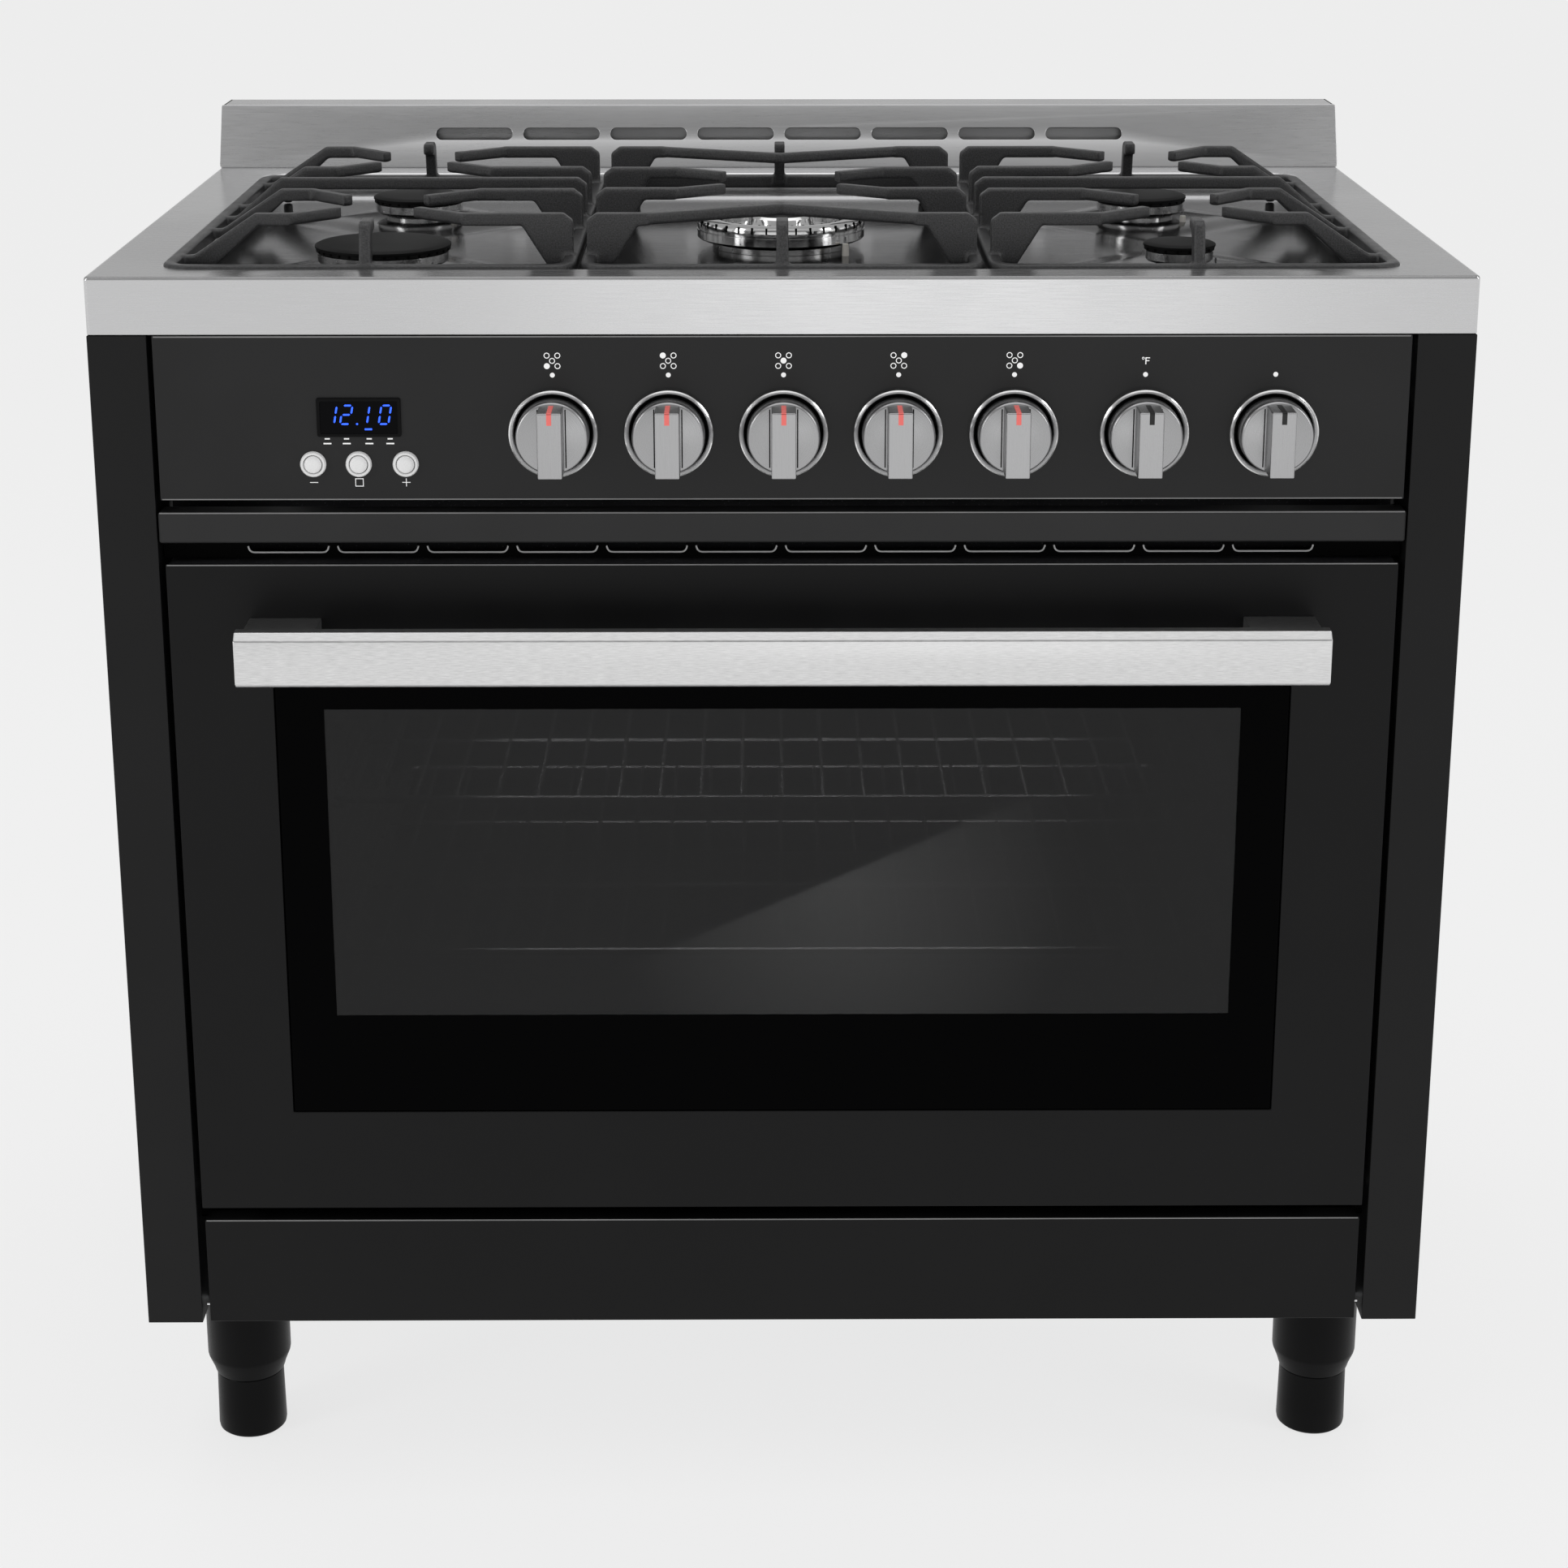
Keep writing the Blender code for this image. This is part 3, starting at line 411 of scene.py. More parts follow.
def outline_mesh(name, loops, thickness, bevel, to_frame):
    """A flat outline with holes, thickened and with a rolled edge, moved into place by a matrix."""
    curve = bpy.data.curves.new(name, "CURVE")
    curve.dimensions = "2D"
    curve.fill_mode = "BOTH"
    curve.extrude = thickness / 2 - bevel
    curve.bevel_depth = bevel
    curve.bevel_resolution = 2
    for loop in loops:
        spline = curve.splines.new("POLY")
        spline.points.add(len(loop) - 1)
        for point, (u, v) in zip(spline.points, loop):
            point.co = (u, v, 0.0, 1.0)
        spline.use_cyclic_u = True
    drawn = bpy.data.objects.new(name, curve)
    bpy.context.scene.collection.objects.link(drawn)
    graph = bpy.context.evaluated_depsgraph_get()
    mesh = bpy.data.meshes.new_from_object(drawn.evaluated_get(graph))
    bpy.data.objects.remove(drawn, do_unlink=True)
    shape = bmesh.new()
    shape.from_mesh(mesh)
    bmesh.ops.remove_doubles(shape, verts=shape.verts, dist=WELD_DISTANCE)
    bmesh.ops.transform(shape, matrix=to_frame, verts=shape.verts)
    return shape


def add_tube(shape, points, radius, sides=10):
    """A wire along straight runs between points, with mitred corners."""
    points = [Vector(p) for p in points]
    angles = [math.tau * step / sides for step in range(sides)]
    off_axis = Vector((0.31, 0.17, 0.93))
    rings = []
    for index, point in enumerate(points):
        before = points[max(index - 1, 0)]
        after = points[min(index + 1, len(points) - 1)]
        along = (after - before).normalized()
        side = along.cross(off_axis).normalized()
        other = along.cross(side)
        ring = [point + radius * (math.cos(a) * side + math.sin(a) * other) for a in angles]
        rings.append([shape.verts.new(corner) for corner in ring])
    bridge_rings(shape, rings)
    shape.faces.new(rings[0])
    shape.faces.new(rings[-1])


def arc_path(points, radius, steps=5):
    """The same path with its corners rounded."""
    points = [Vector(p) for p in points]
    path = [points[0]]
    for before, corner, after in zip(points, points[1:], points[2:]):
        start = corner + (before - corner).normalized() * radius
        end = corner + (after - corner).normalized() * radius
        for step in range(steps + 1):
            t = step / steps
            path.append(start * (1 - t) ** 2 + corner * 2 * t * (1 - t) + end * t * t)
    path.append(points[-1])
    return path


def centre_of(name):
    low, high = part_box(name)
    return (low + high) / 2


# ---- pieces


def make_materials():
    along_x = (0.02, 1.0, 1.0)
    steel = (0.62, 0.62, 0.625)
    satin = (0.42, 0.42, 0.425)
    handle = (0.72, 0.72, 0.72)
    return {
        "cooktop": brushed_metal("cooktop_steel", steel, 0.24, along_x, 0.06, 0.02, 1500.0),
        # pan: the same pressed steel as the rim, made much darker as painted shade.
        "pan": brushed_metal("pan_steel_painted_shade", (0.10, 0.10, 0.102), 0.14, along_x, 0.04, 0.02, 1500.0),
        "guard": brushed_metal("guard_steel", (0.56, 0.56, 0.565), 0.30, along_x, 0.05, 0.015, 2200.0),
        "handle": brushed_metal("handle_steel", handle, 0.32, (0.06, 1.0, 1.0), 0.45, 0.14, 2000.0),
        "grip": brushed_metal("grip_metal", satin, 0.30, (1.0, 1.0, 0.03), 0.2, 0.05, 1500.0),
        "paint": painted_metal("black_paint", (0.0045, 0.0045, 0.0047), 0.40, 0.17),
        "panel": painted_metal("panel_paint", (0.0145, 0.0145, 0.0148), 0.36, 0.24),
        "trim": painted_metal("trim_paint", (0.0200, 0.0200, 0.0204), 0.36, 0.28),
        "post": painted_metal("post_paint", (0.0070, 0.0070, 0.0072), 0.40, 0.20),
        # edge: a pale grey laid along sheet edges as a painted highlight.
        "edge": painted_metal("painted_edge_highlight", (0.24, 0.24, 0.24), 0.30, 0.5),
        # lip: a pale grey on the vent lips, a painted highlight.
        "lip": painted_metal("painted_lip_highlight", (0.62, 0.62, 0.62), 0.30, 0.6),
        "galvanised": machined_alloy("galvanised_sheet", (0.42, 0.43, 0.44), 0.42),
        # hinge: steel made near-black as painted shade in the gap where the hinges show.
        "hinge": machined_alloy("hinge_steel", (0.03, 0.03, 0.03), 0.50),
        "iron": cast_iron(),
        "cap": painted_metal("burner_enamel", (0.0035, 0.0035, 0.0036), 0.5, 0.15, 0.35),
        "alloy": machined_alloy("burner_alloy", (0.66, 0.66, 0.66), 0.20),
        "crown": machined_alloy("crown_metal", (0.78, 0.78, 0.78), 0.10),
        "bezel": machined_alloy("bezel_chrome", (0.92, 0.92, 0.92), 0.17),
        "chrome": machined_alloy("chrome", (0.80, 0.80, 0.81), 0.08),
        "wire": machined_alloy("rack_wire", (0.42, 0.42, 0.43), 0.28),
        "enamel": enamel(),
        "brass": machined_alloy("brass", (0.62, 0.45, 0.18), 0.30),
        "leg": plastic("leg_plastic", (0.0026, 0.0026, 0.0028), 0.36, 0.09),
        "rubber": plastic("seal_rubber", (0.02, 0.02, 0.02), 0.75, 0.2),
        "button": plastic("button_plastic", (0.92, 0.92, 0.92), 0.28, 0.5),
        # white_ink_with_glow: printed marks that also glow a little, a painted brightness, though they are
        # no lamp.
        "white_ink_with_glow": plastic("white_ink_with_glow", (0.95, 0.95, 0.95), 0.5, 0.3, 0.22),
        "red_ink": plastic("red_ink", (1.00, 0.20, 0.18), 0.4, 0.4),
        "black_ink": plastic("black_ink", (0.01, 0.01, 0.01), 0.4, 0.4),
        # shadow: near-black paint put on ports, slots, grooves, recesses and gaps as painted shade.
        "shadow": painted_metal("painted_recess_shadow", (0.0012, 0.0012, 0.0012), 0.7, 0.04),
        "ceramic": plastic("igniter_ceramic", (0.62, 0.60, 0.56), 0.35, 0.5),
        "display": clear_glass("display_glass", (0.0015, 0.0015, 0.002), 1.0, specular=0.06),
        "lamp": clear_glass("lamp_glass", (0.85, 0.85, 0.80), 0.5),
        "film": clear_glass("window_film", (0.001, 0.001, 0.001), 0.40, 0.02),
        "inner_glass": clear_glass("inner_glass", (0.020, 0.020, 0.021), 0.25, specular=0.1),
        "digits": glowing("digit_glow", (0.02, 0.10, 1.0), 2.2),
    }


def make_cooktop(looks):
    """The pressed top: a rolled rim, a sloped wall, and a pan with a raised pad under each outer burner."""
    shape = bmesh.new()
    low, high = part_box("cooktop")
    top = high.z
    rings = []
    edge = ((0.0, low.z), (0.0, top - 0.0024), (0.0, top - 0.0016), (0.0005, top - 0.0005))
    for inset, z in (*edge, (0.0016, top), (0.0024, top)):
        loop = rounded_loop((low.x + inset, low.y + inset), (high.x - inset, high.y - inset), 0.003)
        rings.append([shape.verts.new((x, y, z)) for x, y in loop])
    well_low, well_high = (-0.413, low.y + 0.030), (0.413, low.y + 0.500)
    wall = (
        (-0.0010, top), (0.0, top), (0.0012, top - 0.0004), (0.0022, top - 0.0016),
        (0.0045, PAN_Z + 0.0045), (0.0060, PAN_Z + 0.0016), (0.0090, PAN_Z + 0.0003),
        (0.0180, PAN_Z - 0.0002),
    )
    for inset, z in wall:
        corner_low = (well_low[0] + inset, well_low[1] + inset)
        corner_high = (well_high[0] - inset, well_high[1] - inset)
        loop = rounded_loop(corner_low, corner_high, 0.024 - inset * 0.6)
        rings.append([shape.verts.new((x, y, z)) for x, y in loop])
    bridge_rings(shape, rings)
    add_piece("cooktop_rim", shape, looks["cooktop"], "cabinet", ["cooktop"])
    # The pan takes the darker steel: painted shade over the same sheet as the rim.
    pan = bmesh.new()
    add_pan(pan, well_low, well_high, 0.010)
    add_piece("cooktop_pan", pan, looks["pan"], "cabinet", ["cooktop"])


def add_pan(shape, low, high, inset, spacing=0.004):
    """The floor of the well as a grid, raised in a soft diamond round each outer burner."""
    pads = [centre_of(f"burner_cap_{place}") for place in PLACES if place != "centre"]
    x_count = round((high[0] - low[0] - 2 * inset) / spacing)
    y_count = round((high[1] - low[1] - 2 * inset) / spacing)
    rows = []
    for j in range(y_count + 1):
        y = low[1] + inset + (high[1] - low[1] - 2 * inset) * j / y_count
        row = []
        for i in range(x_count + 1):
            x = low[0] + inset + (high[0] - low[0] - 2 * inset) * i / x_count
            row.append(shape.verts.new((x, y, PAN_Z + pad_height(x, y, pads))))
        rows.append(row)
    for first, second in zip(rows, rows[1:]):
        for i in range(x_count):
            shape.faces.new((first[i], first[i + 1], second[i + 1], second[i]))


def pad_height(x, y, pads, reach=0.110, flat=0.058, rise=0.004):
    """How far the pan rises at a point: flat close to a burner, then an eased slope."""
    height = 0.0
    for pad in pads:
        distance = abs(x - pad.x) + abs(y - pad.y)
        share = min(1.0, max(0.0, (reach - distance) / (reach - flat)))
        height = max(height, rise * share * share * (3 - 2 * share))
    return height


def make_backguard(looks):
    """A leaning front sheet with eight rolled slots, and the cover behind it."""
    low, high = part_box("backguard")
    base_y, top_y = low.y, low.y + 0.0235
    lean = math.atan2(top_y - base_y, high.z - low.z)
    tall = math.hypot(top_y - base_y, high.z - low.z)
    half = high.x
    loops = [rounded_loop((-half, 0.0), (half, tall), 0.0012, 3)]
    slot_z = (0.9255 - low.z) / math.cos(lean)
    for index in range(GUARD_SLOTS):
        x = GUARD_SLOT_FIRST_X + GUARD_SLOT_PITCH * index
        loops.append(rounded_loop((x - 0.0315, slot_z - 0.0056), (x + 0.0315, slot_z + 0.0056), 0.0052))
    place = Matrix.Translation((0.0, base_y + 0.0008, low.z))
    to_frame = place @ Matrix.Rotation(-lean, 4, "X") @ FACE_Y
    shape = outline_mesh("backguard_front", loops, 0.0016, 0.0005, to_frame)
    add_piece("backguard_front", shape, looks["guard"], "cabinet", ["backguard"])
    cover = bmesh.new()
    edge_y = top_y + 0.0006
    add_block(cover, (-half, edge_y, high.z - SHEET), (half, high.y, high.z))
    add_block(cover, (-half, high.y - SHEET, low.z), (half, high.y, high.z))
    steel = looks["cooktop"]
    piece = add_piece("backguard_cover", cover, steel, "cabinet", ["backguard"])
    soften(piece, 0.0005, 2)
    ends = bmesh.new()
    for side in (-1, 1):
        corners = [(base_y + 0.001, low.z), (top_y + 0.001, high.z), (high.y, high.z), (high.y, low.z)]
        add_prism_x(ends, corners, side * half, side * (half - SHEET))
    add_piece("backguard_ends", ends, steel, "cabinet", ["backguard"])
    lining = bmesh.new()
    add_block(lining, (-0.33, base_y + 0.0255, 0.912), (0.33, base_y + 0.027, high.z - 0.002))
    add_piece("backguard_lining", lining, looks["guard"], "cabinet")


def add_prism_x(shape, corners, start, end):
    """A (y, z) outline extruded along X."""
    rings = [[shape.verts.new((x, y, z)) for y, z in corners] for x in (start, end)]
    bridge_rings(shape, rings)
    for ring in rings:
        shape.faces.new(ring)


def make_grates(looks):
    """Castings: the CAD shape, remeshed and smoothed so that its bars flow together."""
    for name in GRATES:
        mesh = NODES[name].data.copy()
        blank = bpy.data.objects.new(name + "_blank", mesh)
        bpy.context.scene.collection.objects.link(blank)
        weld = blank.modifiers.new("Weld", "WELD")
        weld.merge_threshold = WELD_DISTANCE
        voxels = blank.modifiers.new("Voxels", "REMESH")
        voxels.mode = "VOXEL"
        voxels.voxel_size = 0.0013
        voxels.use_smooth_shade = True
        smooth = blank.modifiers.new("Smooth", "SMOOTH")
        smooth.factor = 0.5
        smooth.iterations = 4
        graph = bpy.context.evaluated_depsgraph_get()
        cast = bpy.data.meshes.new_from_object(blank.evaluated_get(graph))
        bpy.data.objects.remove(blank, do_unlink=True)
        cast.name = name + "_casting"
        cast.materials.clear()
        cast.materials.append(looks["iron"])
        piece = bpy.data.objects.new(name + "_casting", cast)
        bpy.context.scene.collection.objects.link(piece)
        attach(piece, name)
        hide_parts(name)


def make_burners(looks):
    """Caps, ported alloy rings, igniters, and the slotted crown burner in the middle."""
    for place in PLACES:
        centre = centre_of(f"burner_cap_{place}")
        axis = Vector((centre.x, centre.y, PAN_Z))
        if place == "centre":
            make_crown_burner(axis, looks)
            continue
        low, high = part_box(f"burner_cap_{place}")
        radius = (high.x - low.x) / 2
        make_ring_burner(place, axis, radius, looks)


def make_ring_burner(place, axis, radius, looks):
    """A flat enamelled cap over a band of port holes, drawn as black dots of painted shade, on a bright
    alloy base.
    """
    profile = [
        (0.0, 0.0217), (radius - 0.006, 0.0215), (radius - 0.002, 0.0210), (radius, 0.0200),
        (radius, 0.0186), (radius - 0.0008, 0.0182), (radius - 0.0008, 0.0160), (0.0, 0.0160),
    ]
    own = [f"burner_cap_{place}"]
    look = looks["cap"]
    add_turned_piece(f"cap_{place}", profile, axis, look, "cabinet", "burner_enamel", own, segments=96)
    # Black dots at each port: painted shade for the holes.
    port_shadows = bmesh.new()
    count = round(math.tau * radius / 0.0085)
    for index in range(count):
        angle = math.tau * index / count
        out = Vector((math.cos(angle), math.sin(angle), 0.0))
        centre = axis + out * (radius - 0.0010) + Vector((0.0, 0.0, 0.0171))
        turn = out.to_track_quat("Z", "Y").to_matrix().to_4x4()
        add_rod(port_shadows, centre, 0.0009, 0.001, turn, 10)
    add_piece(f"ports_{place}", port_shadows, looks["shadow"], "cabinet")
    rim = radius - 0.0015
    profile = [
        (0.0, 0.0158), (rim - 0.0006, 0.0158), (rim, 0.0152), (rim, 0.0098),
        (rim - 0.0015, 0.0082), (rim - 0.006, 0.0070), (rim - 0.008, 0.0056),
        (rim - 0.008, 0.0036), (rim + 0.001, 0.0026), (rim + 0.0035, 0.0014),
        (rim + 0.0035, 0.0002), (0.014, 0.0002), (0.014, -0.016), (0.0, -0.016),
    ]
    own = [f"burner_base_{place}"]
    look = looks["alloy"]
    add_turned_piece(f"base_{place}", profile, axis, look, "cabinet", "burner_alloy", own, segments=96)
    make_igniter(place, axis, radius + 0.006, looks)


def make_igniter(place, axis, distance, looks):
    """A ceramic stub with a steel pin beside the burner."""
    foot = axis + Vector((distance * 0.72, -distance * 0.72, 0.0))
    profile = [(0.0, 0.009), (0.0022, 0.0085), (0.0026, 0.0), (0.0, 0.0)]
    look = looks["ceramic"]
    add_turned_piece(f"igniter_{place}", profile, foot, look, "cabinet", "burner_alloy", segments=16)
    pin = bmesh.new()
    add_rod(pin, foot + Vector((0.0, 0.0, 0.0105)), 0.0007, 0.006, segments=10)
    add_piece(f"igniter_pin_{place}", pin, looks["chrome"], "cabinet")


CROWN_RING = (
    (0.0, 0.0236), (0.0215, 0.0232), (0.0235, 0.0215), (0.0245, 0.0170), (0.0270, 0.0120),
    (0.0450, 0.0120), (0.0460, 0.0205), (0.0475, 0.0215), (0.0585, 0.0215), (0.0605, 0.0205),
    (0.0610, 0.0190), (0.0610, 0.0146), (0.0604, 0.0143), (0.0604, 0.0139), (0.0610, 0.0136),
    (0.0610, 0.0080), (0.0595, 0.0066), (0.044, 0.0063), (0.0, 0.0063),
)


def make_crown_burner(axis, looks):
    """The middle burner: a bright ring with slots inside and out, drawn as black boxes of painted shade,
    round a raised, capped hub.
    """
    profile = [
        (0.0, 0.0062), (0.044, 0.0062), (0.050, 0.0040), (0.050, 0.0002), (0.014, 0.0002),
        (0.014, -0.016), (0.0, -0.016),
    ]
    own = ["burner_base_centre"]
    add_turned_piece("base_centre", profile, axis, looks["alloy"], "cabinet", "burner_alloy", own)
    # Black boxes at each slot: painted shade for the openings.
    slots = bmesh.new()
    slot_size = Matrix.Diagonal((0.0012, 0.0013, 0.0046, 1.0))
    for index in range(CROWN_SLOTS):
        angle = math.tau * index / CROWN_SLOTS
        out = Vector((math.cos(angle), math.sin(angle), 0.0))
        turn = Matrix.Rotation(angle, 4, "Z")
        for distance in (0.0606, 0.0458):
            place = Matrix.Translation(axis + out * distance + Vector((0.0, 0.0, 0.0192))) @ turn
            bmesh.ops.create_cube(slots, size=1.0, matrix=place @ slot_size)
    own = ["burner_cap_centre"]
    look = looks["crown"]
    add_turned_piece("crown_ring", CROWN_RING, axis, look, "cabinet", "crown_metal", own, segments=96)
    add_piece("crown_slot_shadows", slots, looks["shadow"], "cabinet")
    profile = [(0.0, 0.0246), (0.017, 0.0244), (0.020, 0.0238), (0.021, 0.0228), (0.0, 0.0228)]
    add_turned_piece("crown_cap", profile, axis, looks["cap"], "cabinet", "burner_enamel")
    make_igniter("centre", axis, 0.064, looks)


KNOB_DISC = (
    (0.0, 0.0215), (0.0222, 0.0215), (0.0228, 0.0213), (0.0238, 0.0203), (0.0240, 0.0196),
    (0.0240, 0.0050), (0.0230, 0.0042), (0.0, 0.0042),
)
KNOB_BEZEL = (
    (0.0295, 0.0019), (0.0297, 0.0056), (0.0292, 0.0076), (0.0283, 0.0084), (0.0274, 0.0080),
    (0.0266, 0.0070), (0.0249, 0.0038), (0.0247, 0.0019), (0.0295, 0.0019),
)


def make_knobs(looks):
    """Seven knobs, and the bezel ring that each one sits in, with a black disc inside each ring as the
    painted shade of its recess.
    """
    bezel = bmesh.new()
    recess = bmesh.new()
    for name in KNOBS:
        middle = centre_of(name)
        axis = Vector((middle.x, FRONT_Y, middle.z))
        make_knob(name, axis, looks)
        add_turned(bezel, KNOB_BEZEL, axis, facing_front=True, segments=96)
        # A black disc behind each knob: painted shade in the recess.
        add_turned(recess, [(0.0, 0.0024), (0.0250, 0.0024)], axis, facing_front=True)
    add_piece("knob_bezels", bezel, looks["bezel"], "cabinet")
    add_piece("knob_recesses", recess, looks["shadow"], "cabinet")


def make_knob(name, axis, looks):
    """A brushed disc with a grip, a black line as painted shadow for the groove at each side, and an
    indicator strip over the top.
    """
    face = turned_metal(f"{name}_metal", (0.42, 0.42, 0.425), 0.30, axis)
    turning = {"facing_front": True, "segments": 96}
    add_turned_piece(f"{name}_disc", KNOB_DISC, axis, face, name, "knob_metal", [name], **turning)
    grip = bmesh.new()
    add_knob_block(grip, axis, (-0.008, GRIP_FRONT, -0.0218), (0.008, 0.0200, 0.0218))
    soften(add_piece(f"{name}_grip", grip, looks["grip"], name, [name]), 0.0009)
    # Black strips beside the grip: painted shadow in its grooves.
    groove_shadows = bmesh.new()
    for side in (-0.0091, 0.0091):
        add_knob_block(groove_shadows, axis, (side - 0.0004, 0.02162, -0.0195), (side + 0.0004, 0.0213, 0.0195))
    add_piece(f"{name}_grooves", groove_shadows, looks["shadow"], name)
    strip = bmesh.new()
    strip_front = GRIP_FRONT + 0.0003
    add_knob_block(strip, axis, (-0.0016, strip_front, 0.0140), (0.0016, 0.0440, 0.0215))
    add_knob_block(strip, axis, (-0.0016, strip_front, 0.0212), (0.0016, 0.0214, 0.0221))
    ink = looks["black_ink"] if "oven" in name else looks["red_ink"]
    add_piece(f"{name}_indicator", strip, ink, name)


def add_knob_block(shape, axis, low, high):
    """A box from two corners given as right, forward and up from the knob's axis."""
    corners = [(axis.x + right, axis.y - forward, axis.z + up) for right, forward, up in (low, high)]
    add_block(shape, *corners)


BUTTON_DOME = (
    (0.0, 0.0066), (0.0030, 0.0065), (0.0048, 0.0060), (0.0056, 0.0052), (0.0058, 0.0044),
    (0.0058, -0.009), (0.0, -0.009),
)
BUTTON_RING = (
    (0.0063, 0.0019), (0.0063, 0.0042), (0.0069, 0.0050), (0.0078, 0.0048), (0.0085, 0.0036),
    (0.0086, 0.0019), (0.0063, 0.0019),
)


def make_buttons(looks):
    """Three domed buttons, each in a fixed ring."""
    rings = bmesh.new()
    for name in BUTTONS:
        middle = centre_of(name)
        axis = Vector((middle.x, FRONT_Y, middle.z))
        look, turning = looks["button"], {"facing_front": True}
        add_turned_piece(f"{name}_dome", BUTTON_DOME, axis, look, name, "button_plastic", [name], **turning)
        add_turned(rings, BUTTON_RING, axis, facing_front=True)
    add_piece("button_rings", rings, looks["button"], "cabinet")


def add_ring_mark(shape, x, y, z, outer, inner=0.0):
    """A printed ring or dot on the panel."""
    profile = [(inner, 0.0), (inner, INK_DEPTH), (outer, INK_DEPTH), (outer, 0.0)]
    add_turned(shape, profile, Vector((x, y, z)), facing_front=True, segments=32)


def make_marks(looks):
    """Dots over the knobs, a plan of the burners over each gas knob, and signs by the buttons.

    The four pairs of short bars under the display stand in for its labels.
    """
    marks = bmesh.new()
    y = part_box("control_panel")[0].y
    corners = {"front_left": (-1, -1), "rear_left": (-1, 1), "centre": (0, 0)}
    corners.update({"rear_right": (1, 1), "front_right": (1, -1)})
    for name in KNOBS:
        x, z = centre_of(name).x, centre_of(name).z
        add_ring_mark(marks, x, y, z + 0.0385, 0.0016)
        own = name.replace("knob_", "")
        if own not in corners:
            continue
        for place, (u, v) in corners.items():
            inner = 0.0 if place == own else 0.00140
            add_ring_mark(marks, x + 0.0035 * u, y, z + 0.0480 + 0.0035 * v, 0.00195, inner)
    make_degree_mark(marks, centre_of("knob_oven_temperature"), y)
    low = centre_of("timer_button_1")
    for name, sign in zip(BUTTONS, ("minus", "square", "plus")):
        add_sign(marks, sign, centre_of(name).x, y, low.z - 0.0125)
    for x in (-0.3001, -0.2874, -0.2725, -0.2587):
        for z, half in ((0.7930, 0.0017), (0.7898, 0.0026)):
            add_block(marks, (x - half, y - INK_DEPTH, z - 0.00045), (x + half, y, z + 0.00045))
    add_piece("panel_marks", marks, looks["white_ink_with_glow"], "cabinet")


def make_degree_mark(marks, knob, y):
    """A degree sign and the letter F, for a temperature scale."""
    x, z = knob.x, knob.z + 0.0475
    add_ring_mark(marks, x - 0.0018, y, z + 0.0018, 0.0009, 0.0005)
    add_block(marks, (x - 0.0004, y - INK_DEPTH, z - 0.0022), (x + 0.0003, y, z + 0.0024))
    for height, reach in ((0.0021, 0.0026), (0.0002, 0.0022)):
        add_block(marks, (x, y - INK_DEPTH, z + height - 0.0003), (x + reach, y, z + height + 0.0003))


def add_sign(marks, sign, x, y, z, size=0.0025, line=0.00022):
    """A minus, a plus or a square, drawn in straight strokes."""
    strokes = {
        "minus": [((-1, 0), (1, 0))],
        "plus": [((-1, 0), (1, 0)), ((0, -1), (0, 1))],
        "square": [((-1, -1), (1, -1)), ((-1, 1), (1, 1)), ((-1, -1), (-1, 1)), ((1, -1), (1, 1))],
    }[sign]
    for (u0, v0), (u1, v1) in strokes:
        low = (x + size * u0 - line, y - INK_DEPTH, z + size * v0 - line)
        high = (x + size * u1 + line, y, z + size * v1 + line)
        add_block(marks, low, high)


SEGMENTS = {
    "top": ((0, 2), (1, 2)),
    "upper_left": ((0, 1), (0, 2)),
    "upper_right": ((1, 1), (1, 2)),
    "middle": ((0, 1), (1, 1)),
    "lower_left": ((0, 0), (0, 1)),
    "lower_right": ((1, 0), (1, 1)),
    "bottom": ((0, 0), (1, 0)),
}
DIGITS = {
    "1": ("upper_right", "lower_right"),
    "2": ("top", "upper_right", "middle", "lower_left", "bottom"),
    "0": ("top", "upper_left", "upper_right", "lower_left", "lower_right", "bottom"),
}


def make_display(looks):
    """A black window with a slanted seven-segment clock."""
    low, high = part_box("display")
    window = bmesh.new()
    add_block(window, low, high)
    piece = add_piece("display_window", window, looks["display"], "cabinet", ["display"])
    soften(piece, 0.0008)
    loops = []
    for grow, radius in ((0.0012, 0.0012), (-0.0004, 0.0008)):
        corner_low = (low.x - grow, low.z - grow)
        corner_high = (high.x + grow, high.z + grow)
        loops.append(rounded_loop(corner_low, corner_high, radius, 3))
    place = Matrix.Translation((0.0, low.y + 0.0001, 0.0)) @ FACE_Y
    bezel = outline_mesh("display_bezel", loops, 0.0014, 0.0003, place)
    add_piece("display_bezel", bezel, looks["leg"], "cabinet")
    glow = bmesh.new()
    y = low.y - INK_DEPTH
    tall, wide, slant = 0.0062, 0.0064, 0.18
    z = low.z + 0.0071
    middle = (low.x + high.x) / 2
    for character, x in (("1", -0.0227), ("2", -0.0124), ("1", -0.0011), ("0", 0.0130)):
        for segment in DIGITS[character]:
            add_segment(glow, SEGMENTS[segment], middle + x, y, z, wide, tall, slant)
    for x, half, height in ((-0.0012, 0.0006, 0.0071), (0.0061, 0.0024, 0.0036)):
        corner = (middle + x - half, y, low.z + height - 0.0006)
        add_block(glow, corner, (middle + x + half, y + 0.0003, low.z + height + 0.0006))
    add_piece("display_digits", glow, looks["digits"], "cabinet")


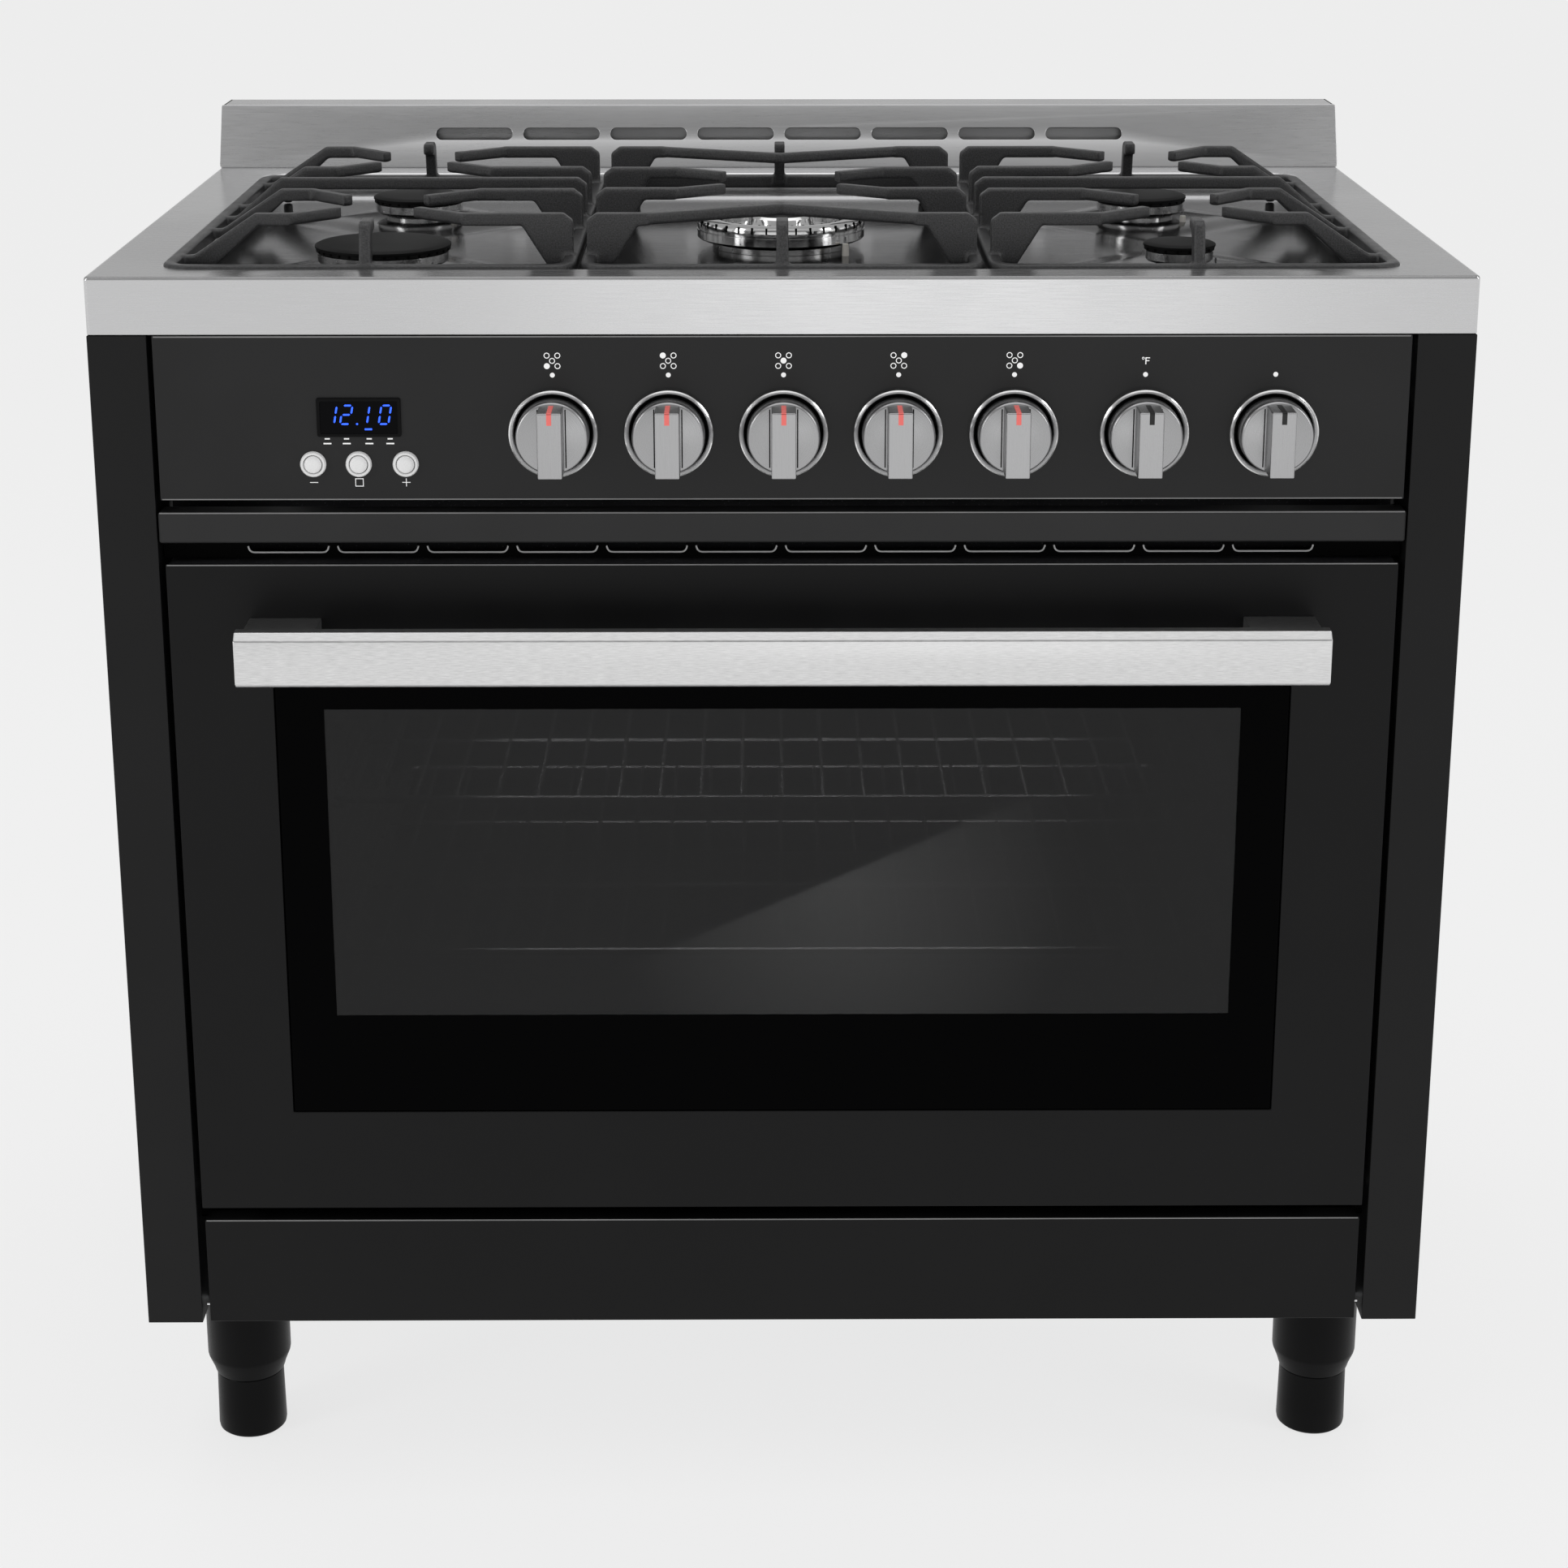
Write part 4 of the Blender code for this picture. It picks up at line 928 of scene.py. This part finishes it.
def add_segment(shape, ends, x, y, z, wide, tall, slant, line=0.0006, trim=0.0007):
    """One lit bar with pointed ends, leaning with the digit."""
    points = [Vector((u * wide, 0.0, v * tall)) for u, v in ends]
    along = (points[1] - points[0]).normalized()
    across = Vector((along.z, 0.0, -along.x)) * line
    first, last = points[0] + along * trim, points[1] - along * trim
    inner = [first + along * line, last - along * line]
    outline = [first, inner[0] + across, inner[1] + across, last, inner[1] - across, inner[0] - across]
    rings = [
        [shape.verts.new((x + p.x + slant * p.z, y + depth, z + p.z)) for p in outline]
        for depth in (0.0, 0.0003)
    ]
    bridge_rings(shape, rings)
    for ring in rings:
        shape.faces.new(ring)


def make_vent_lips(looks):
    """A rolled lip under each slot of the grille over the door, pale grey as a painted highlight on the
    black sheet's edge.
    """
    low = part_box("vent_grille")[0]
    lips = bmesh.new()
    y, top, bottom = low.y - 0.0005, low.z + 0.0078, low.z + 0.0034
    for index in range(VENT_LIPS):
        x = VENT_LIP_FIRST_X + VENT_LIP_PITCH * index
        left, right = x - 0.026, x + 0.026
        corners = [(left - 0.001, y, top), (left, y, bottom), (right, y, bottom), (right + 0.001, y, top)]
        add_tube(lips, arc_path(corners, 0.0035), 0.00060, 8)
    add_piece("vent_lips", lips, looks["lip"], "cabinet")


def make_door(looks):
    """The door's own sheets and glass, and a film over the window that takes the studio's reflection."""
    finish_node("door_glass", printed_glass("door_glass_print", WINDOW_LOW, WINDOW_HIGH), 0.0006)
    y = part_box("door_glass")[0].y - 0.0001
    film = bmesh.new()
    add_block(film, (WINDOW_LOW.x, y - 0.0002, WINDOW_LOW.z), (WINDOW_HIGH.x, y, WINDOW_HIGH.z))
    soften(add_piece("window_film", film, looks["film"], "door"), 0.00005)
    finish_node("door_inner_glass", looks["inner_glass"], 0.0006)
    finish_node("door_panel", looks["paint"], 0.0008)
    finish_node("door_liner", looks["enamel"], 0.0006)
    make_handle(looks)


def make_edge_highlights(looks):
    """Pale lines along the folded edges of the painted sheets: painted highlights where the edges catch the
    light.
    """
    for node_name, body, z_end in (
        ("door_panel", "door", 1), ("storage_door", "storage_door", 1), ("trim_bar", "cabinet", 1),
        ("control_panel", "cabinet", 0), ("control_panel", "cabinet", 1),
    ):
        low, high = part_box(node_name)
        z = high.z - 0.0005 if z_end else low.z + 0.0005
        y = low.y + 0.0001
        edge = bmesh.new()
        add_tube(edge, [(low.x + 0.001, y, z), (high.x - 0.001, y, z)], 0.00045, 8)
        add_piece(f"{node_name}_edge_{z_end}", edge, looks["edge"], body)


def make_handle(looks):
    """The chamfered bar with its end plates, on two blocks."""
    low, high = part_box("door_handle")
    front = low.y
    section = [
        (front + 0.0140, low.z), (front + 0.0140, high.z), (front + 0.0050, high.z),
        (front + 0.0002, high.z - 0.0048), (front, high.z - 0.0056), (front, low.z + 0.0032),
        (front + 0.0002, low.z + 0.0026), (front + 0.0030, low.z),
    ]
    bar = bmesh.new()
    add_prism_x(bar, section, low.x, high.x)
    soften(add_piece("handle_bar", bar, looks["handle"], "door", ["door_handle"]), 0.0007)
    blocks = bmesh.new()
    for side in (-1, 1):
        x_low, x_high = sorted((side * 0.309, side * 0.357))
        add_block(blocks, (x_low, front + 0.010, 0.6505), (x_high, high.y, 0.6705))
    piece = add_piece("handle_blocks", blocks, looks["handle"], "door", ["door_handle"])
    soften(piece, 0.0008)


def make_legs(looks):
    """A sleeve under each corner, and the foot that screws out of it."""
    for row in ("front", "rear"):
        for hand in ("left", "right"):
            sleeve = f"leg_sleeve_{row}_{hand}"
            low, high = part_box(sleeve)
            middle = (low + high) / 2
            axis = Vector((middle.x, middle.y, 0.0))
            profile = sleeve_profile(low.z, high.z)
            foot = f"foot_{row}_{hand}"
            look, slot = looks["leg"], "leg_plastic"
            add_turned_piece(f"{sleeve}_shell", profile, axis, look, "cabinet", slot, [sleeve])
            add_turned_piece(f"{foot}_shell", FOOT, axis, look, foot, slot, [foot])


def sleeve_profile(bottom, top):
    """A wide collar, a sloped shoulder, and a bore that the foot's stem runs in."""
    return [
        (0.0, top), (0.0310, top), (0.0310, 0.0640), (0.0305, 0.0615), (0.0272, 0.0535),
        (0.0262, 0.0500), (0.0256, bottom), (0.0130, bottom), (0.0130, 0.120), (0.0, 0.120),
    ]


FOOT = (
    (0.0, 0.105), (0.0120, 0.105), (0.0120, 0.0482), (0.0240, 0.0482), (0.0248, 0.0470),
    (0.0252, 0.0200), (0.0255, 0.0040), (0.0250, 0.0014), (0.0235, 0.0), (0.0, 0.0),
)


def make_racks(looks):
    """Wire racks: a rounded frame, close bars from front to back, and two cross wires under them."""
    inset = 0.003
    for name in ("oven_rack_upper", "oven_rack_lower"):
        low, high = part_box(name)
        z = low.z + inset
        wires = bmesh.new()
        near, far = (low.x + inset, low.y + inset), (high.x - inset, high.y - inset)
        outline = rounded_loop(near, far, 0.012, 5)
        outline.append(outline[0])
        add_tube(wires, [(x, y, z) for x, y in outline], 0.0029)
        for index in range(RACK_BARS):
            x = low.x + 0.030 + (high.x - low.x - 0.060) * index / (RACK_BARS - 1)
            add_tube(wires, [(x, near[1], z + 0.001), (x, far[1], z + 0.001)], 0.0015, 8)
        for share in (0.33, 0.67):
            y = low.y + share * (high.y - low.y)
            add_tube(wires, [(near[0], y, z - 0.001), (far[0], y, z - 0.001)], 0.0019, 8)
        add_piece(f"{name}_wires", wires, looks["wire"], "cabinet", [name])


def make_screws(looks):
    """Round-headed screws that hold the back panel, and the hinge pins of the storage door."""
    screws = bmesh.new()
    low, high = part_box("back_panel")
    turn = Matrix.Rotation(math.radians(-90), 4, "X")
    edge = 0.012
    for x in (low.x + edge, -0.2, 0.0, 0.2, high.x - edge):
        for z in (low.z + edge, high.z - 0.025):
            add_rod(screws, Vector((x, high.y + 0.0006, z)), 0.0042, 0.0016, turn, 20)
    soften(add_piece("back_screws", screws, looks["chrome"], "cabinet"), 0.0004)
    pins = bmesh.new()
    along = Matrix.Rotation(math.radians(90), 4, "Y")
    door_low, door_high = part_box("storage_door")
    for side in (-1, 1):
        centre = Vector((side * (door_high.x + 0.0017), door_low.y + 0.008, door_low.z + 0.010))
        add_rod(pins, centre, 0.0009, 0.0032, along, 16)
    add_piece("storage_pins", pins, looks["chrome"], "storage_door")


def make_cross_rail(looks):
    """The folded rail behind the gap between the oven door and the storage door, near-black as the painted
    shade in that gap.
    """
    half, y, bottom = 0.4155, FRONT_Y + 0.017, 0.2195
    rail = bmesh.new()
    add_block(rail, (-half, y, bottom), (half, y + SHEET, 0.2275))
    add_block(rail, (-half, y, bottom), (half, y + 0.030, 0.2207))
    add_piece("cross_rail", rail, looks["shadow"], "cabinet")


def finish_node(name, look, edge=0.0):
    """Gives a CAD node its material and, where it has plain corners, softer edges."""
    cad = NODES[name]
    cad.data.materials.clear()
    cad.data.materials.append(look)
    weld = cad.modifiers.new("Weld", "WELD")
    weld.merge_threshold = WELD_DISTANCE
    if edge:
        soften(cad, edge, 3, 40)
    return cad


def finish_nodes(looks):
    """The CAD nodes that show as they are: each look's nodes, and how far their edges are softened."""
    for look, edge, names in (
        ("post", 0.0006, ("side_panel_left", "side_panel_right")),
        ("paint", 0.0008, ("storage_door",)),
        ("panel", 0.0, ("control_panel",)),
        ("trim", 0.0, ("trim_bar",)),
        # The vent grille is near-black as painted shade in its recess.
        ("shadow", 0.0, ("vent_grille",)),
        ("galvanised", 0.0, ("back_panel", "base_panel")),
        ("alloy", 0.0, ("gas_manifold", "broil_burner")),
        ("brass", 0.0, ("gas_inlet",)),
        ("leg", 0.0, ("power_inlet",)),
        ("enamel", 0.0, ("oven_cavity",)),
        ("rubber", 0.0, ("door_gasket",)),
        ("wire", 0.0, ("rack_support_left", "rack_support_right")),
        ("lamp", 0.0, ("oven_lamp",)),
        # The hinges are darkened as painted shade.
        ("hinge", 0.0, ("door_hinge_left", "door_hinge_right")),
    ):
        for name in names:
            finish_node(name, looks[look], edge)


# ---- floor, light, camera


def make_stage():
    """A pale floor that glows a little, as a lit studio sweep does, so that it looks even."""
    floor_look, tree, shader = material("floor", (0.22, 0.22, 0.22), 0.9)
    shader.inputs["Specular IOR Level"].default_value = 0.0
    shader.inputs["Emission Color"].default_value = (1.0, 1.0, 1.0, 1.0)
    shader.inputs["Emission Strength"].default_value = FLOOR_GLOW
    shape = bmesh.new()
    bmesh.ops.create_grid(shape, x_segments=1, y_segments=1, size=30.0)
    mesh = bpy.data.meshes.new("floor")
    shape.to_mesh(mesh)
    shape.free()
    mesh.materials.append(floor_look)
    floor = bpy.data.objects.new("floor", mesh)
    bpy.context.scene.collection.objects.link(floor)


def add_area(name, place, target, size, power, spread=180):
    """A rectangular light that faces a target."""
    light = bpy.data.lights.new(name, "AREA")
    light.shape = "RECTANGLE"
    light.size, light.size_y = size
    light.energy = power
    light.spread = math.radians(spread)
    lamp = bpy.data.objects.new(name, light)
    lamp.location = place
    lamp.rotation_euler = (Vector(target) - Vector(place)).to_track_quat("-Z", "Y").to_euler()
    bpy.context.scene.collection.objects.link(lamp)
    return lamp


def make_lights():
    """A studio that is bright low down and at its zenith, soft boxes, and a small light in the oven."""
    world = bpy.data.worlds.new("studio")
    world.use_nodes = True
    tree = world.node_tree
    place = node(tree, "ShaderNodeTexCoord")
    parts = node(tree, "ShaderNodeSeparateXYZ", [("Vector", place.outputs["Generated"])])
    ramp = node(tree, "ShaderNodeValToRGB", [("Fac", parts.outputs["Z"])])
    steps = ((0.0, 0.88), (0.10, 0.80), (0.18, 0.42), (0.40, 0.36), (0.72, 0.36), (1.0, 0.90))
    while len(ramp.color_ramp.elements) < len(steps):
        ramp.color_ramp.elements.new(0.5)
    for element, (position, grey) in zip(ramp.color_ramp.elements, steps):
        element.position = position
        element.color = (grey, grey, grey, 1.0)
    tree.links.new(ramp.outputs["Color"], tree.nodes["Background"].inputs["Color"])
    bpy.context.scene.world = world
    add_area("top", (0.0, 0.1, 3.0), (0.0, 0.0, 0.9), (2.8, 2.0), 10.0)
    add_area("left", (-2.6, -1.6, 1.7), (0.0, 0.0, 0.6), (0.7, 1.5), 14.0)
    add_area("right", (2.6, -1.2, 1.9), (0.0, 0.0, 0.6), (0.7, 1.5), 12.0)
    add_area("front", (0.25, -3.2, 0.45), (0.0, 0.0, 0.85), (1.3, 0.5), 1.3)
    add_area("oven", (0.0, -0.05, 0.630), (0.0, 0.0, 0.0), (0.45, 0.25), 1.4)


def make_window_card():
    """A soft card low in front of the range, seen only by the door's window as a slanted glow."""
    glass_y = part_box("door_glass")[0].y
    mirrored_eye = Vector((EYE.x, 2 * glass_y - EYE.y, EYE.z))
    glow = mirrored_eye + 1.4 * (Vector((0.040, glass_y, 0.478)) - mirrored_eye)
    facing = (mirrored_eye - glow).normalized()
    start, end = [
        intersect_line_plane(mirrored_eye, Vector((x, glass_y, z)), glow, facing)
        for x, z in ((-0.096, 0.425), (0.153, 0.536))
    ]
    down = (start - end).cross(facing).normalized()
    if down.z > 0:
        down = -down
    width, height = 1.4, 0.34
    centre = (start + end) / 2 + down * height / 2
    card = add_area("window_card", centre, centre + facing, (width, height), 0.0032, 8.5)
    turn = Matrix((down.cross(-facing), down, -facing)).transposed()
    card.matrix_world = Matrix.Translation(centre) @ turn.to_4x4()
    card.visible_diffuse = False
    receivers = bpy.data.collections.new("window_card_receivers")
    receivers.objects.link(bpy.data.objects["window_film"])
    card.light_linking.receiver_collection = receivers


def make_camera():
    """At the photograph's height and distance, looking slightly down."""
    data = bpy.data.cameras.new("camera")
    data.sensor_width = 36.0
    data.lens = 70.9
    data.shift_y = -0.10
    data.clip_end = 200.0
    camera = bpy.data.objects.new("camera", data)
    camera.location = EYE
    camera.rotation_euler = (math.radians(90.0 - EYE_DROP), 0.0, math.radians(EYE_TURN))
    bpy.context.scene.collection.objects.link(camera)
    bpy.context.scene.camera = camera


bpy.context.scene.view_settings.view_transform = "Standard"
looks = make_materials()
make_cooktop(looks)
make_backguard(looks)
make_grates(looks)
make_burners(looks)
make_knobs(looks)
make_buttons(looks)
make_marks(looks)
make_display(looks)
make_vent_lips(looks)
make_door(looks)
make_edge_highlights(looks)
make_legs(looks)
make_racks(looks)
make_screws(looks)
make_cross_rail(looks)
finish_nodes(looks)
make_stage()
make_lights()
make_camera()
make_window_card()
